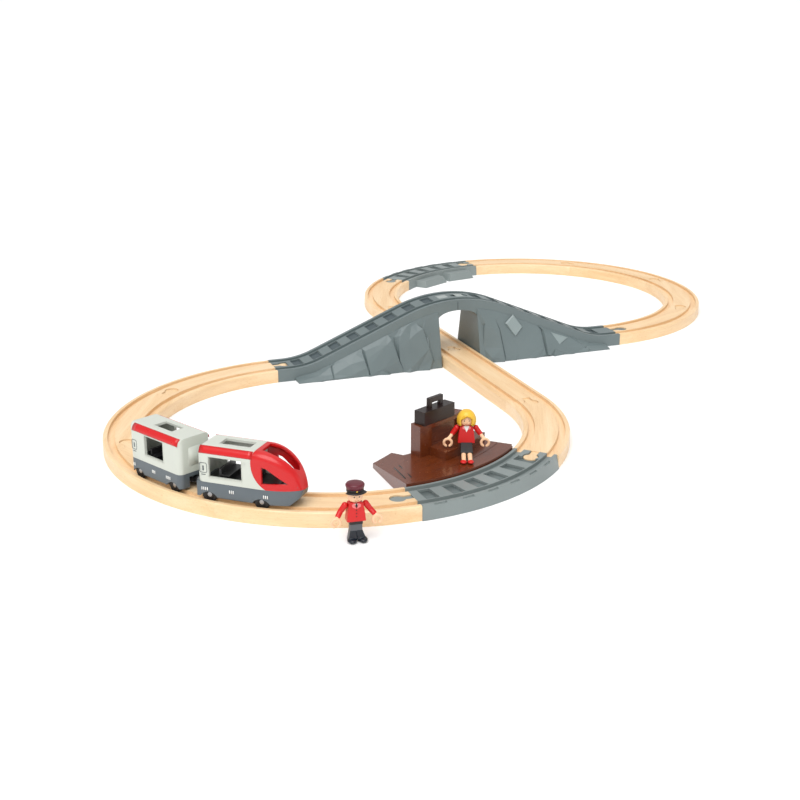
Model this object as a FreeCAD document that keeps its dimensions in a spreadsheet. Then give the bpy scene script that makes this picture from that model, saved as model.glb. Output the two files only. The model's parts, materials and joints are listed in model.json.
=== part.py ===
"""Push-along railway set: wooden track in a figure-eight, a bridge, a station, a train and two figures.

World frame: the two lines cross at the origin, the bridge runs along X and the line under it along Y,
+Z is up and the floor is z = 0. Lengths are millimetres and angles degrees.
"""
import FreeCAD, Part
import Sketcher
import math
import os

Vector = FreeCAD.Vector
Rotation = FreeCAD.Rotation
Placement = FreeCAD.Placement
UP = Vector(0, 0, 1)

# ---------------------------------------------------------------- driving dimensions

DIMENSIONS = {
    # track
    "curve_radius": 182, "curve_angle": 45, "track_width": 40, "track_thickness": 12, "edge_bevel": 1,
    "groove_offset": 13, "groove_width": 6, "groove_depth": 3,
    "peg_reach": 12, "peg_radius": 6, "neck_width": 6.4, "peg_height": 11, "socket_clearance": 0.5,
    "neck_overlap": 3, "socket_overlap": 1, "foot_run": 10,
    # plastic curves and their rocks
    "ballast_top": 18.5, "ballast_base": 20.8, "bed_half_width": 9, "bed_depth": 2,
    "tie_gap": 3.4, "tie_pitch": 6.9, "tie_first": 2.3, "tie_count": 6,
    "notch_inner": 199.3, "notch_depth": 1.4, "notch_first": 3, "notch_sweep": 3,
    "rock_bury": 1.5, "rock_lean": 1.6, "rock_shrink": 3,
    "rock_one_inner": 148, "rock_one_from": 4, "rock_one_to": 19, "rock_one_height": 9,
    "rock_two_inner": 147, "rock_two_from": 21, "rock_two_to": 38, "rock_two_height": 8,
    # bridge
    "bridge_rise": 55, "bridge_slope": 22.4, "valley_radius": 85, "crest_radius": 140,
    "arch_half_width": 21.5, "arch_spring": 47.5, "arch_crown": 56.2, "middle_peg_height": 8.2,
    "middle_peg_lift": 1, "rock_half_width": 32, "rim_depth": 9, "bridge_wall": 2.5, "rock_start": 174,
    "rock_least": 1.5, "bridge_tie_depth": 1.6, "bridge_tie_gap": 10, "bridge_tie_pitch": 20,
    "bridge_tie_first": 22, "bridge_tie_count": 8,
    # station
    "platform_top": 14, "platform_outer": 160.5, "platform_inner": 106, "lip_outer": 162.5,
    "lip_thickness": 3.5, "platform_from": 282, "platform_to": 316, "lip_to": 314.6,
    "plank_first": 124, "plank_pitch": 12, "plank_count": 3, "plank_gap": 0.5, "plank_depth": 0.6,
    "slot_inner": 121, "slot_outer": 151, "slot_one": 272.2, "slot_two": 274.1, "slot_lean": 1.7,
    "slot_width": 1.1, "slope_reach": 80,
    "ramp_from": 270.8, "ramp_inner": 88, "ramp_low": 4,
    "wall_outer": 118.5, "wall_top": 40, "wall_from": 286, "wall_to": 313.5,
    "niche_depth": 3.5, "niche_top": 36.5, "niche_from": 292, "niche_margin": 1.5,
    "seat_outer": 136.5, "seat_top": 21, "seat_from": 291.2,
    "case_length": 37, "case_depth": 11, "case_height": 11.5, "case_at": 296.8,
    "handle_length": 16.5, "handle_depth": 3.4, "handle_height": 8.6, "handle_bar": 3.2, "handle_top_bar": 4,
    # bodies of the two vehicles
    "body_half_width": 15.4, "roof_top": 54, "sill_height": 25.7, "skirt_bottom": 14.2, "shell_wall": 2,
    "roof_round": 6, "corner_round": 4.5, "skirt_wall": 1.4, "floor_underside": 22.6,
    "engine_rear": -31.2, "hood_start": 18, "hood_radius": 34.4, "nose_reach": 34.6,
    "seam_radius": 22, "seam_along": 36, "seam_height": 45,
    "chin_start": 41.5, "chin_middle": 49, "chin_end": 51.5, "chin_rise": 19.5, "engine_floor_end": 31,
    "wagon_half_length": 31.2,
    "engine_window_rear": -20.5, "engine_window_front": 6.5, "engine_window_low": 30.3,
    "engine_window_high": 46, "hood_bow": 50, "cabin_nose": 14,
    "engine_bench_rear": -12, "engine_bench_front": 6,
    "wagon_bench_rear": -8, "wagon_bench_front": 9,
    "wagon_window_half": 11.5, "wagon_window_low": 31.5, "wagon_window_high": 47.5,
    "engine_roof_rear": -16, "engine_roof_front": 9.5, "wagon_roof_half": 11, "roof_opening_half": 5.8,
    "quarter_rear": 22.5, "quarter_top": 43.3, "quarter_peak": 26.5, "quarter_front": 42, "quarter_low": 30,
    "screen_rear": 20, "screen_middle": 30, "screen_front": 44, "screen_tip": 46.5,
    "screen_rear_half": 7.5, "screen_middle_half": 8.5, "screen_front_half": 5.5,
    "pin_along": 8.8, "pin_height": 44.4, "pin_radius": 0.9, "pin_length": 2.4, "pin_stand": 0.3,
    "seat_gap": 0.2, "seat_floor": 1.6, "bench_depth": 7, "bench_height": 4.5, "bench_back": 2,
    "bench_back_height": 9, "bench_side_gap": 1.5,
    # running gear
    "half_wheelbase": 21.5, "wheel_radius": 6, "wheel_thickness": 3, "wheel_inner_face": 10.8,
    "wheel_lift": 0.3, "axle_radius": 1, "bearing_clearance": 0.05, "cap_radius": 1.8, "cap_thickness": 0.5,
    "arch_cut_radius": 8.5, "arch_cut_height": 9.5, "bearing_across": 7.5, "bearing_length": 5,
    "bearing_width": 3, "bearing_below": 2,
    "engine_angle": 229.1, "wagon_angle": 206.3,
    "coupler_pivot": 26.6, "coupler_width": 5, "coupler_low": 17.2, "coupler_thick": 3.2, "coupler_eye": 3.1,
    "coupler_gate": 6.5, "coupler_gate_length": 8, "pivot_radius": 1.4, "pivot_head": 2.2,
    "pivot_head_thick": 0.8, "pivot_head_gap": 0.1,
    "magnet_radius": 3.2, "magnet_thickness": 2.6, "magnet_gap": 0.5, "magnet_cup": 1.5, "magnet_dimple": 1.3,
    "magnet_dimple_depth": 0.3,
    # figures
    "hip_height": 16.5, "hip_radius": 4, "leg_half_depth": 2.6, "leg_outer": 4.8, "leg_gap": 0.3,
    "sole_height": 3.4, "torso_base": 18.7, "torso_top": 31, "torso_base_half": 6.6, "torso_top_half": 5,
    "torso_half_depth": 3.9, "hip_play": 0.3, "cheek_width": 1.2, "cheek_depth": 5, "cheek_drop": 2.5,
    "pin_rod": 1, "shoulder_out": 7.6, "shoulder_height": 28.6, "shoulder_pin": 1.2, "pin_sunk": 0.4,
    "elbow_out": 3.3, "elbow_back": 0.4, "elbow_drop": 4.8, "wrist_out": 2.3, "wrist_forward": 2.6,
    "wrist_drop": 2.6, "palm_out": 1.8, "palm_forward": 1.8, "palm_drop": 4, "bore_start": 2.7,
    "arm_radius": 2.1, "wrist_radius": 1.5, "hand_radius": 3.1, "hand_bar": 1.1, "hand_sweep": 300,
    "neck_radius": 2.4, "neck_depth": 2.5, "head_radius": 5.6, "head_base": 31.6, "head_height": 8.6,
    "chin_inset": 1.6, "chin_height": 2, "crown_inset": 1,
    "cap_base": 38.7, "cap_band": 2.4, "cap_band_radius": 6.3, "cap_crown": 3.4, "cap_crown_radius": 6.7,
    "cap_lid": 1, "cap_lid_radius": 5.2, "cap_peak": 1, "cap_peak_reach": 2.2,
    "hair_low": 0.5, "hair_grow": 1.7, "hair_flare": 2, "hair_top": 3, "hair_top_inset": 1.6,
    "fringe_drop": 2.6, "face_half": 4.3,
    "conductor_sole": 8.6, "passenger_sole": 6.6, "passenger_hip_turn": 58,
    "conductor_x": -239.5, "conductor_y": -400, "conductor_turn": -5.5,
    "passenger_x": -112, "passenger_y": -302.5, "passenger_turn": -20.5,
}

doc = FreeCAD.newDocument("railway_set")
sheet = doc.addObject("Spreadsheet::Sheet", "Sizes")
for row, (name, value) in enumerate(DIMENSIONS.items(), start=1):
    sheet.set("A%d" % row, name)
    sheet.set("B%d" % row, str(value))
    sheet.setAlias("B%d" % row, name)
doc.recompute()


class Size:
    """A length that knows its value and the spreadsheet expression that gives it."""

    def __init__(self, value, text):
        self.value = float(value)
        self.text = text

    def join(self, other, sign, value):
        return Size(value, "(%s %s %s)" % (self.text, sign, as_size(other).text))

    def __add__(self, other):
        return self.join(other, "+", self.value + as_size(other).value)

    def __sub__(self, other):
        return self.join(other, "-", self.value - as_size(other).value)

    def __mul__(self, other):
        return self.join(other, "*", self.value * as_size(other).value)

    def __truediv__(self, other):
        return self.join(other, "/", self.value / as_size(other).value)

    def __neg__(self):
        return Size(0, "0").join(self, "-", -self.value)

    def __radd__(self, other):
        return as_size(other) + self

    def __rsub__(self, other):
        return as_size(other) - self

    def __rmul__(self, other):
        return as_size(other) * self


def as_size(number):
    if isinstance(number, Size):
        return number
    return Size(number, repr(round(float(number), 9)))


def dim(name):
    return Size(DIMENSIONS[name], "Sizes." + name)


def value(name):
    return float(DIMENSIONS[name])


def bind(item, prop, amount):
    """Drive one property from the sheet."""
    item.setExpression(prop, as_size(amount).text)


def stand(item, at, axis=UP, angle=0):
    """Put a primitive at a point given in sizes, turned about an axis."""
    item.Placement = Placement(Vector(*[as_size(part).value for part in at]), Rotation(axis, angle))
    for prop, part in zip(("x", "y", "z"), at):
        bind(item, "Placement.Base." + prop, part)
    return item


# ---------------------------------------------------------------- primitives and booleans

def box(length, width, height, at, axis=UP, angle=0):
    item = doc.addObject("Part::Box", "box")
    bind(item, "Length", length)
    bind(item, "Width", width)
    bind(item, "Height", height)
    return stand(item, at, axis, angle)


def cylinder(radius, height, at=(0, 0, 0), axis=UP, angle=0, sweep=360):
    item = doc.addObject("Part::Cylinder", "cylinder")
    bind(item, "Radius", radius)
    bind(item, "Height", height)
    bind(item, "Angle", sweep)
    return stand(item, at, axis, angle)


def cone(low_radius, high_radius, height, at=(0, 0, 0), axis=UP, angle=0, sweep=360):
    item = doc.addObject("Part::Cone", "cone")
    bind(item, "Radius1", low_radius)
    bind(item, "Radius2", high_radius)
    bind(item, "Height", height)
    bind(item, "Angle", sweep)
    return stand(item, at, axis, angle)


def ball(radius, at):
    item = doc.addObject("Part::Sphere", "ball")
    bind(item, "Radius", radius)
    return stand(item, at)


def fuse(items):
    if len(items) == 1:
        return items[0]
    item = doc.addObject("Part::MultiFuse", "fuse")
    item.Shapes = items
    return item


def common(items):
    item = doc.addObject("Part::MultiCommon", "common")
    item.Shapes = items
    return item


def cut(base, tools):
    item = doc.addObject("Part::Cut", "cut")
    item.Base = base
    item.Tool = fuse(tools)
    return item


def outline(points, turn=Rotation()):
    """A closed sketch of straight lines whose corners are held from its origin by bound constraints."""
    sketch = doc.addObject("Sketcher::SketchObject", "outline")
    sketch.Placement = Placement(Vector(0, 0, 0), turn)
    corners = [Vector(as_size(across).value, as_size(along).value, 0) for across, along in points]
    for index, corner in enumerate(corners):
        sketch.addGeometry(Part.LineSegment(corners[index - 1], corner), False)
    for index, (across, along) in enumerate(points):
        following = (index + 1) % len(points)
        sketch.addConstraint(Sketcher.Constraint("Coincident", index, 2, following, 1))
        hold(sketch, index, "X", across)
        hold(sketch, index, "Y", along)
    return sketch


def hold(sketch, index, letter, amount):
    """Hold one coordinate of the corner at the end of a line, always by a positive distance."""
    amount = as_size(amount)
    if abs(amount.value) < 1e-9:
        axis = -2 if letter == "X" else -1
        sketch.addConstraint(Sketcher.Constraint("PointOnObject", index, 2, axis))
        return
    if amount.value > 0:
        number = sketch.addConstraint(Sketcher.Constraint("Distance" + letter, -1, 1, index, 2, amount.value))
    else:
        amount = -amount
        number = sketch.addConstraint(Sketcher.Constraint("Distance" + letter, index, 2, -1, 1, amount.value))
    name = "%s_%d" % (letter.lower(), index)
    sketch.renameConstraint(number, name)
    bind(sketch, "Constraints." + name, amount)


def prism(points, depth, turn=Rotation(), direction=UP, centred=True):
    """An outline pushed along a direction."""
    item = doc.addObject("Part::Extrusion", "prism")
    item.Base = outline(points, turn)
    item.DirMode = "Custom"
    item.Dir = direction
    item.Solid = True
    item.Symmetric = centred
    bind(item, "LengthFwd", depth)
    return item


SIDE_VIEW = Rotation(Vector(1, 0, 0), 90)      # sketch x, y become world x, z
FRONT_VIEW = Rotation(Vector(1, 1, 1), 120)    # sketch x, y become world y, z
ALONG_X = Vector(1, 0, 0)
ALONG_Y = Vector(0, 1, 0)

nodes = {}


def keep(name, item, placement=Placement()):
    """Name a finished sub-part and put it in its place."""
    item.Label = name
    item.Placement = placement
    nodes[name] = item
    return item


def turned(centre, angle, height=0):
    return Placement(Vector(centre[0], centre[1], height), Rotation(UP, angle))


# ---------------------------------------------------------------- track

FRONT_CENTRE = (-value("curve_radius"), -value("curve_radius"))
BACK_CENTRE = (value("curve_radius"), value("curve_radius"))


def ring(inner, outer, low, height):
    return cut(cylinder(outer, height, (0, 0, low)), [cylinder(inner, height, (0, 0, low))])


def sector(inner, outer, low, height, start, end):
    """Part of a ring."""
    sweep = as_size(end) - start
    whole = cylinder(outer, height, (0, 0, low), UP, as_size(start).value, sweep)
    return cut(whole, [cylinder(inner, height, (0, 0, low))])


def groove_rings():
    rings = []
    for side in (-1, 1):
        middle = dim("curve_radius") + dim("groove_offset") * side
        rings.append(ring(middle - dim("groove_width") / 2, middle + dim("groove_width") / 2,
                          dim("track_thickness") - dim("groove_depth"), dim("groove_depth")))
    return rings


def tongue(at, heading, gap, low, height, back):
    """A straight neck and a round end, reaching from a point along a heading measured from +Y."""
    across = (math.cos(math.radians(heading)), math.sin(math.radians(heading)))
    ahead = (-across[1], across[0])
    width = dim("neck_width") + gap * 2
    corner = [as_size(at[k]) - width / 2 * across[k] - as_size(back) * ahead[k] for k in (0, 1)]
    middle = [as_size(at[k]) + dim("peg_reach") * ahead[k] for k in (0, 1)]
    return [box(width, dim("peg_reach") + back, height, corner + [low], UP, heading),
            cylinder(dim("peg_radius") + gap, height, middle + [low])]


def peg(at, heading, low=0, height=None):
    return tongue(at, heading, as_size(0), low, height or dim("peg_height"), dim("neck_overlap"))


def socket(at, heading, low=0, height=None):
    return tongue(at, heading, dim("socket_clearance"), low, height or dim("track_thickness"),
                  dim("socket_overlap"))


def curve(name, centre, start, blank, hollow, peg_first, trimmed=False, extras=()):
    """One curved piece, modelled about its loop's centre from angle 0 to the curve angle."""
    sweep = value("curve_angle")
    far = [dim("curve_radius") * turn(math.radians(sweep)) for turn in (math.cos, math.sin)]
    near = [dim("curve_radius"), dim("foot_run") if trimmed else as_size(0)]
    tools = list(hollow) + groove_rings()
    if peg_first:
        pegs = peg(near, 180)
        tools += socket(far, sweep + 180)
    else:
        pegs = peg(far, sweep)
        tools += socket(near, 0)
    if trimmed:
        tools.append(box(dim("curve_radius") * 2, dim("foot_run"), dim("track_thickness"), (0, 0, 0)))
    shaped = cut(fuse(list(blank)), tools)
    keep(name, fuse([shaped] + pegs + list(extras)), turned(centre, start))


def wooden_blank():
    outer = dim("curve_radius") + dim("track_width") / 2
    bevel = dim("edge_bevel")
    sweep = dim("curve_angle")
    straight_side = dim("track_thickness") - bevel
    return [cylinder(outer, straight_side, sweep=sweep),
            cone(outer, outer - bevel, bevel, (0, 0, straight_side), sweep=sweep)]


def wooden_hollow():
    inner = dim("curve_radius") - dim("track_width") / 2
    bevel = dim("edge_bevel")
    straight_side = dim("track_thickness") - bevel
    return [cylinder(inner, dim("track_thickness")), cone(inner, inner + bevel, bevel, (0, 0, straight_side))]


def ballast_blank():
    """The plastic curve stands on shoulders that slope outwards to the floor."""
    radius = dim("curve_radius")
    return [cone(radius + dim("ballast_base"), radius + dim("ballast_top"), dim("track_thickness"),
                 sweep=dim("curve_angle"))]


def ballast_hollow():
    """What is cut from a plastic curve: its inside, hollows between sleepers and notches in the outer edge."""
    radius = dim("curve_radius")
    top = dim("track_thickness")
    half, depth = dim("bed_half_width"), dim("bed_depth")
    cuts = [cone(radius - dim("ballast_base"), radius - dim("ballast_top"), top)]
    for count in range(int(value("tie_count"))):
        start = dim("tie_first") + dim("tie_pitch") * count
        cuts.append(sector(radius - half, radius + half, top - depth, depth, start, start + dim("tie_gap")))
        start = dim("notch_first") + dim("tie_pitch") * count
        cuts.append(sector(dim("notch_inner"), radius + dim("ballast_base"), top - dim("notch_depth"),
                           dim("notch_depth"), start, start + dim("notch_sweep")))
    return cuts


def rock(name):
    """A lump of rock against the inner shoulder: four leaning faces under a smaller flat top."""
    inner, low_angle, high_angle, height = [value("rock_%s_%s" % (name, part))
                                            for part in ("inner", "from", "to", "height")]
    outer = value("curve_radius") - value("ballast_base") + value("rock_bury")
    lean, shrink = value("rock_lean"), value("rock_shrink")
    floor_points = []
    top_points = []
    for radius, angle, draw_in, swing in ((inner, low_angle, shrink, lean), (inner, high_angle, shrink, -lean),
                                          (outer, high_angle, 0, -lean / 2), (outer, low_angle, 0, lean / 2)):
        foot = math.radians(angle)
        top = math.radians(angle + swing)
        floor_points.append(Vector(radius * math.cos(foot), radius * math.sin(foot), 0))
        radius += draw_in
        top_points.append(Vector(radius * math.cos(top), radius * math.sin(top), height))
    item = doc.addObject("Part::Feature", "rock")
    item.Shape = Part.makeLoft([Part.makePolygon(floor_points + floor_points[:1]),
                                Part.makePolygon(top_points + top_points[:1])], True, True)
    return item


def straight(name, start):
    """One straight under the bridge, from y = start to the next joint towards -Y."""
    length = dim("curve_radius")
    half = dim("track_width") / 2
    thick = dim("track_thickness")
    bevel = dim("edge_bevel")
    groove_low = dim("groove_offset") - dim("groove_width") / 2
    groove_high = dim("groove_offset") + dim("groove_width") / 2
    floor = thick - dim("groove_depth")
    right = [(half, as_size(0)), (half, thick - bevel), (half - bevel, thick), (groove_high, thick),
             (groove_high, floor), (groove_low, floor), (groove_low, thick)]
    left = [(-across, level) for across, level in reversed(right)]
    bar = prism(right + left, length, SIDE_VIEW, ALONG_Y, centred=False)
    shaped = cut(bar, socket([0, length], 180))
    keep(name, fuse([shaped] + peg([0, 0], 180)), turned((0, start - value("curve_radius")), 0))


# ---------------------------------------------------------------- bridge

def bridge_points():
    """The S of the roadbed from its foot to the middle, as tangent points and the middle of each arc."""
    slope = math.radians(value("bridge_slope"))
    valley, crest = value("valley_radius"), value("crest_radius")
    low, high = value("track_thickness"), value("track_thickness") + value("bridge_rise")
    rise_left = value("bridge_rise") - (valley + crest) * (1 - math.cos(slope))
    run = rise_left / math.tan(slope) + (valley + crest) * math.sin(slope)
    crest_end = (-crest * math.sin(slope), high - crest * (1 - math.cos(slope)))
    crest_half = (-crest * math.sin(slope / 2), high - crest * (1 - math.cos(slope / 2)))
    valley_end = (-run + valley * math.sin(slope), low + valley * (1 - math.cos(slope)))
    valley_half = (-run + valley * math.sin(slope / 2), low + valley * (1 - math.cos(slope / 2)))
    return {"foot": (-run, low), "valley_half": valley_half, "valley_end": valley_end,
            "crest_end": crest_end, "crest_half": crest_half, "top": (0, high)}


def bridge_height(x):
    """The height of the roadbed at a distance from the middle."""
    slope = math.radians(value("bridge_slope"))
    spots = bridge_points()
    distance = -abs(x)
    if distance >= spots["crest_end"][0]:
        crest = value("crest_radius")
        return spots["top"][1] - crest + math.sqrt(crest ** 2 - distance ** 2)
    if distance >= spots["valley_end"][0]:
        return spots["valley_end"][1] + (distance - spots["valley_end"][0]) * math.tan(slope)
    if distance >= spots["foot"][0]:
        valley = value("valley_radius")
        return spots["foot"][1] + valley - math.sqrt(valley ** 2 - (distance - spots["foot"][0]) ** 2)
    return spots["foot"][1]


def roadbed_side(drop):
    """The side view of a half bridge, from the floor up to the roadbed lowered by a drop."""
    spots = {name: Vector(x, 0, z - drop) for name, (x, z) in bridge_points().items()}
    end = Vector(-(value("curve_radius") + value("foot_run")), 0, value("track_thickness") - drop)
    below = Vector(end.x, 0, 0)
    middle = Vector(0, 0, 0)
    edges = [Part.LineSegment(below, end), Part.LineSegment(end, spots["foot"]),
             Part.Arc(spots["foot"], spots["valley_half"], spots["valley_end"]),
             Part.LineSegment(spots["valley_end"], spots["crest_end"]),
             Part.Arc(spots["crest_end"], spots["crest_half"], spots["top"]),
             Part.LineSegment(spots["top"], middle), Part.LineSegment(middle, below)]
    return Part.Face(Part.Wire([edge.toShape() for edge in edges]))


def slab(face, half_width):
    face.translate(Vector(0, -half_width, 0))
    return face.extrude(Vector(0, 2 * half_width, 0))


def rock_wall(inset):
    """The rock under the roadbed: it flares from the rim to a wider foot, as a ruled loft."""
    start = value("rock_start") - inset
    end = value("arch_half_width") + inset
    steps = 8
    wires = []
    for step in range(steps + 1):
        x = -(start + (end - start) * step / steps)
        top = max(bridge_height(x) - value("rim_depth") - inset, value("rock_least"))
        wide, narrow = value("rock_half_width") - inset, value("track_width") / 2 - inset
        corners = [Vector(x, -wide, 0), Vector(x, wide, 0), Vector(x, narrow, top), Vector(x, -narrow, top)]
        wires.append(Part.makePolygon(corners + corners[:1]))
    return Part.makeLoft(wires, True, True)


def arch():
    """The passage under the middle: upright walls and a low elliptical crown."""
    half, spring, crown = value("arch_half_width"), value("arch_spring"), value("arch_crown")
    ellipse = Part.Ellipse(Vector(half, 0, spring), Vector(0, 0, crown), Vector(0, 0, spring))
    corners = [Vector(-half, 0, spring), Vector(-half, 0, -1), Vector(half, 0, -1), Vector(half, 0, spring)]
    edges = [Part.ArcOfEllipse(ellipse, 0, math.pi)]
    edges += [Part.LineSegment(corners[k], corners[k + 1]) for k in range(3)]
    return slab(Part.Face(Part.Wire([edge.toShape() for edge in edges])), value("track_width"))


def bridge_shape():
    """The left half as one hollow moulding that is open underneath."""
    half_track = value("track_width") / 2
    wall = value("bridge_wall")
    deck = slab(roadbed_side(0), half_track)
    solid = deck.fuse(rock_wall(0))
    hollow = slab(roadbed_side(value("groove_depth") + wall), half_track - wall)
    keep_inside = Part.makeBox(value("rock_start") - value("arch_half_width") - 2 * wall, 100, 100,
                               Vector(-value("rock_start") + wall, -50, 0))
    hollow = hollow.common(keep_inside).fuse(rock_wall(wall))
    solid = solid.cut(hollow).cut(arch())
    for side in (-1, 1):
        middle = side * value("groove_offset")
        channel = roadbed_side(value("groove_depth"))
        width = value("groove_width") / 2
        strip = Part.makeBox(400, 2 * width, 100, Vector(-300, middle - width, 0)).cut(slab(channel, 40))
        solid = solid.cut(strip)
    bed = value("bed_half_width")
    below = slab(roadbed_side(value("bridge_tie_depth")), bed * 2)
    for count in range(int(value("bridge_tie_count"))):
        end = -(value("bridge_tie_first") + value("bridge_tie_pitch") * count)
        gap = Part.makeBox(value("bridge_tie_gap"), bed * 2, value("track_width") * 2,
                           Vector(end - value("bridge_tie_gap"), -bed, 0))
        solid = solid.cut(gap.cut(below))
    return solid.removeSplitter()


def bridge_half(name, angle, foot_is_socket):
    """Half the bridge, modelled with its foot towards -X; the peg of each joint points along world +X."""
    moulding = doc.addObject("Part::Feature", "moulding")
    moulding.Shape = bridge_shape()
    foot = [-(dim("curve_radius") + dim("foot_run")), as_size(0)]
    low = dim("arch_crown") + dim("middle_peg_lift")
    if foot_is_socket:
        shaped = cut(moulding, socket(foot, -90))
        pegs = peg([0, 0], -90, low, dim("middle_peg_height"))
    else:
        shaped = cut(moulding, socket([0, 0], 90, dim("arch_spring"), dim("bridge_rise")))
        pegs = peg(foot, 90)
    keep(name, fuse([shaped] + pegs), turned((0, 0), angle))


# ---------------------------------------------------------------- station

def station_platform():
    """A curved deck with a lip towards the line, and a ramp that falls away from one end and inwards."""
    top, lip = dim("platform_top"), dim("lip_thickness")
    inner, outer, edge = dim("platform_inner"), dim("platform_outer"), dim("lip_outer")
    first, start, end = dim("ramp_from"), dim("platform_from"), dim("platform_to")
    foot = dim("ramp_inner")
    deck = [sector(inner, outer, 0, top - lip, start, end), sector(inner, outer, top - lip, lip, start, end),
            sector(outer - 1, edge, top - lip, lip, start, dim("lip_to"))]
    ramp = [sector(foot, outer, 0, top - lip, first, start), sector(foot, edge, top - lip, lip, first, start)]
    slope = ramp_slope()
    joints = []
    for count in range(int(value("plank_count"))):
        radius = dim("plank_first") + dim("plank_pitch") * count
        joints.append(sector(radius, radius + dim("plank_gap"), top - dim("plank_depth"), dim("plank_depth"),
                             start, end))
    slots = [ramp_slot(angle) for angle in ("slot_one", "slot_two")]
    body = fuse(deck + [cut(fuse(ramp), [slope])])
    keep("station_platform", cut(body, joints + slots), turned(FRONT_CENTRE, 0))


def around_platform(radius, angle, height):
    turn = math.radians(value(angle))
    return Vector(value(radius) * math.cos(turn), value(radius) * math.sin(turn), value(height))


def ramp_points():
    """The three corners of the ramp: two level with the deck and one near the floor."""
    return [around_platform("lip_outer", "ramp_from", "platform_top"),
            around_platform("platform_inner", "platform_from", "platform_top"),
            around_platform("ramp_inner", "ramp_from", "ramp_low")]


def ramp_slope():
    """What is cut away over the ramp: a deep block whose underside is the sloping plane."""
    high, back, low = ramp_points()
    along = (back - high).normalize()
    normal = along.cross(low - high).normalize()
    if normal.z < 0:
        normal = normal * -1
    across = normal.cross(along)
    if across.dot(low - high) < 0:
        across = across * -1
    reach = value("slope_reach")
    corners = [high - along * reach, back + along * reach]
    corners += [corner + across * reach for corner in reversed(corners)]
    face = Part.Face(Part.makePolygon(corners + [corners[0]]))
    return solid_feature(face.extrude(normal * reach))


def ramp_slot(name):
    """A narrow groove across the ramp, leaning a little from the radius and following the slope."""
    high, back, low = ramp_points()
    normal = (back - high).cross(low - high)
    ends = []
    for radius, angle in (("slot_inner", value(name) + value("slot_lean")), ("slot_outer", value(name))):
        turn = math.radians(angle)
        spot = Vector(value(radius) * math.cos(turn), value(radius) * math.sin(turn), 0)
        rise = high.z - (normal.x * (spot.x - high.x) + normal.y * (spot.y - high.y)) / normal.z
        ends.append(spot + Vector(0, 0, min(rise, value("platform_top"))))
    way = ends[1] - ends[0]
    block = box(as_size(way.Length), dim("slot_width"), dim("lip_thickness") * 3, (0, 0, 0))
    tilt = math.degrees(math.atan2(way.z, math.hypot(way.x, way.y)))
    level = Rotation(UP, math.degrees(math.atan2(way.y, way.x))).multiply(Rotation(ALONG_Y, -tilt))
    block.Placement = Placement(ends[0] - Vector(0, 0, value("slot_width")), level)
    return block


def station_bench():
    """A luggage wall with a niche over a seat."""
    top = dim("platform_top")
    wall = sector(dim("platform_inner"), dim("wall_outer"), top, dim("wall_top") - top, dim("wall_from"),
                  dim("wall_to"))
    niche = sector(dim("wall_outer") - dim("niche_depth"), dim("wall_outer") + 1, dim("seat_top"),
                   dim("niche_top") - dim("seat_top"), dim("niche_from"),
                   dim("wall_to") - dim("niche_margin"))
    seat = sector(dim("wall_outer") - dim("niche_depth"), dim("seat_outer"), top, dim("seat_top") - top,
                  dim("seat_from"), dim("platform_to"))
    keep("station_bench", fuse([cut(wall, [niche]), seat]), turned(FRONT_CENTRE, 0))


def suitcase():
    length, depth, height = dim("case_length"), dim("case_depth"), dim("case_height")
    grip, bar = dim("handle_length"), dim("handle_bar")
    body = box(length, depth, height, (-length / 2, -depth / 2, 0))
    handle = box(grip, dim("handle_depth"), dim("handle_height"), (-grip / 2, -dim("handle_depth") / 2, height))
    grip_hole = box(grip - bar * 2, depth, dim("handle_height") - dim("handle_top_bar"),
                    (-grip / 2 + bar, -depth / 2, height))
    radius = (value("platform_inner") + value("wall_outer")) / 2
    turn = math.radians(value("case_at"))
    spot = (FRONT_CENTRE[0] + radius * math.cos(turn), FRONT_CENTRE[1] + radius * math.sin(turn))
    keep("suitcase", fuse([body, cut(handle, [grip_hole])]),
         turned(spot, value("case_at") - 270, value("wall_top")))


# ---------------------------------------------------------------- train

def vehicle_place(angle):
    """A vehicle sits across a chord of the front loop, so that both its axles are on the line's middle."""
    chord = math.sqrt(value("curve_radius") ** 2 - value("half_wheelbase") ** 2)
    turn = math.radians(angle)
    spot = (FRONT_CENTRE[0] + chord * math.cos(turn), FRONT_CENTRE[1] + chord * math.sin(turn))
    return turned(spot, angle + 90)


def rounded_plan(rear, front, half, low, height, radius):
    """An upright block with round corners."""
    corners = [(rear + radius, radius - half), (rear + radius, half - radius),
               (front - radius, half - radius), (front - radius, radius - half)]
    parts = [cylinder(radius, height, (x, y, low)) for x, y in corners]
    parts.append(box(front - rear, half * 2 - radius * 2, height, (rear, radius - half, low)))
    parts.append(box(front - rear - radius * 2, half * 2, height, (rear + radius, -half, low)))
    return fuse(parts)


def rounded_section(rear, front, half, low, top, radius):
    """A long block whose two upper edges are round."""
    length = front - rear
    parts = []
    for across in (half - radius, radius - half):
        parts.append(cylinder(radius, length, (rear, across, top - radius), ALONG_Y, 90))
    parts.append(box(length, half * 2, top - low - radius, (rear, -half, low)))
    parts.append(box(length, half * 2 - radius * 2, top - low, (rear, radius - half, low)))
    return fuse(parts)


def wagon_volume(inset):
    """The wagon's body, drawn in by an inset on every side but the floor."""
    inset = as_size(inset)
    half_length = dim("wagon_half_length") - inset
    half = dim("body_half_width") - inset
    top = dim("roof_top") - inset
    plan = rounded_plan(-half_length, half_length, half, dim("sill_height"), dim("roof_top"),
                        dim("corner_round") - inset)
    section = rounded_section(-half_length, half_length, half, dim("sill_height"), top,
                              dim("roof_round") - inset)
    return common([plan, section])


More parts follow.
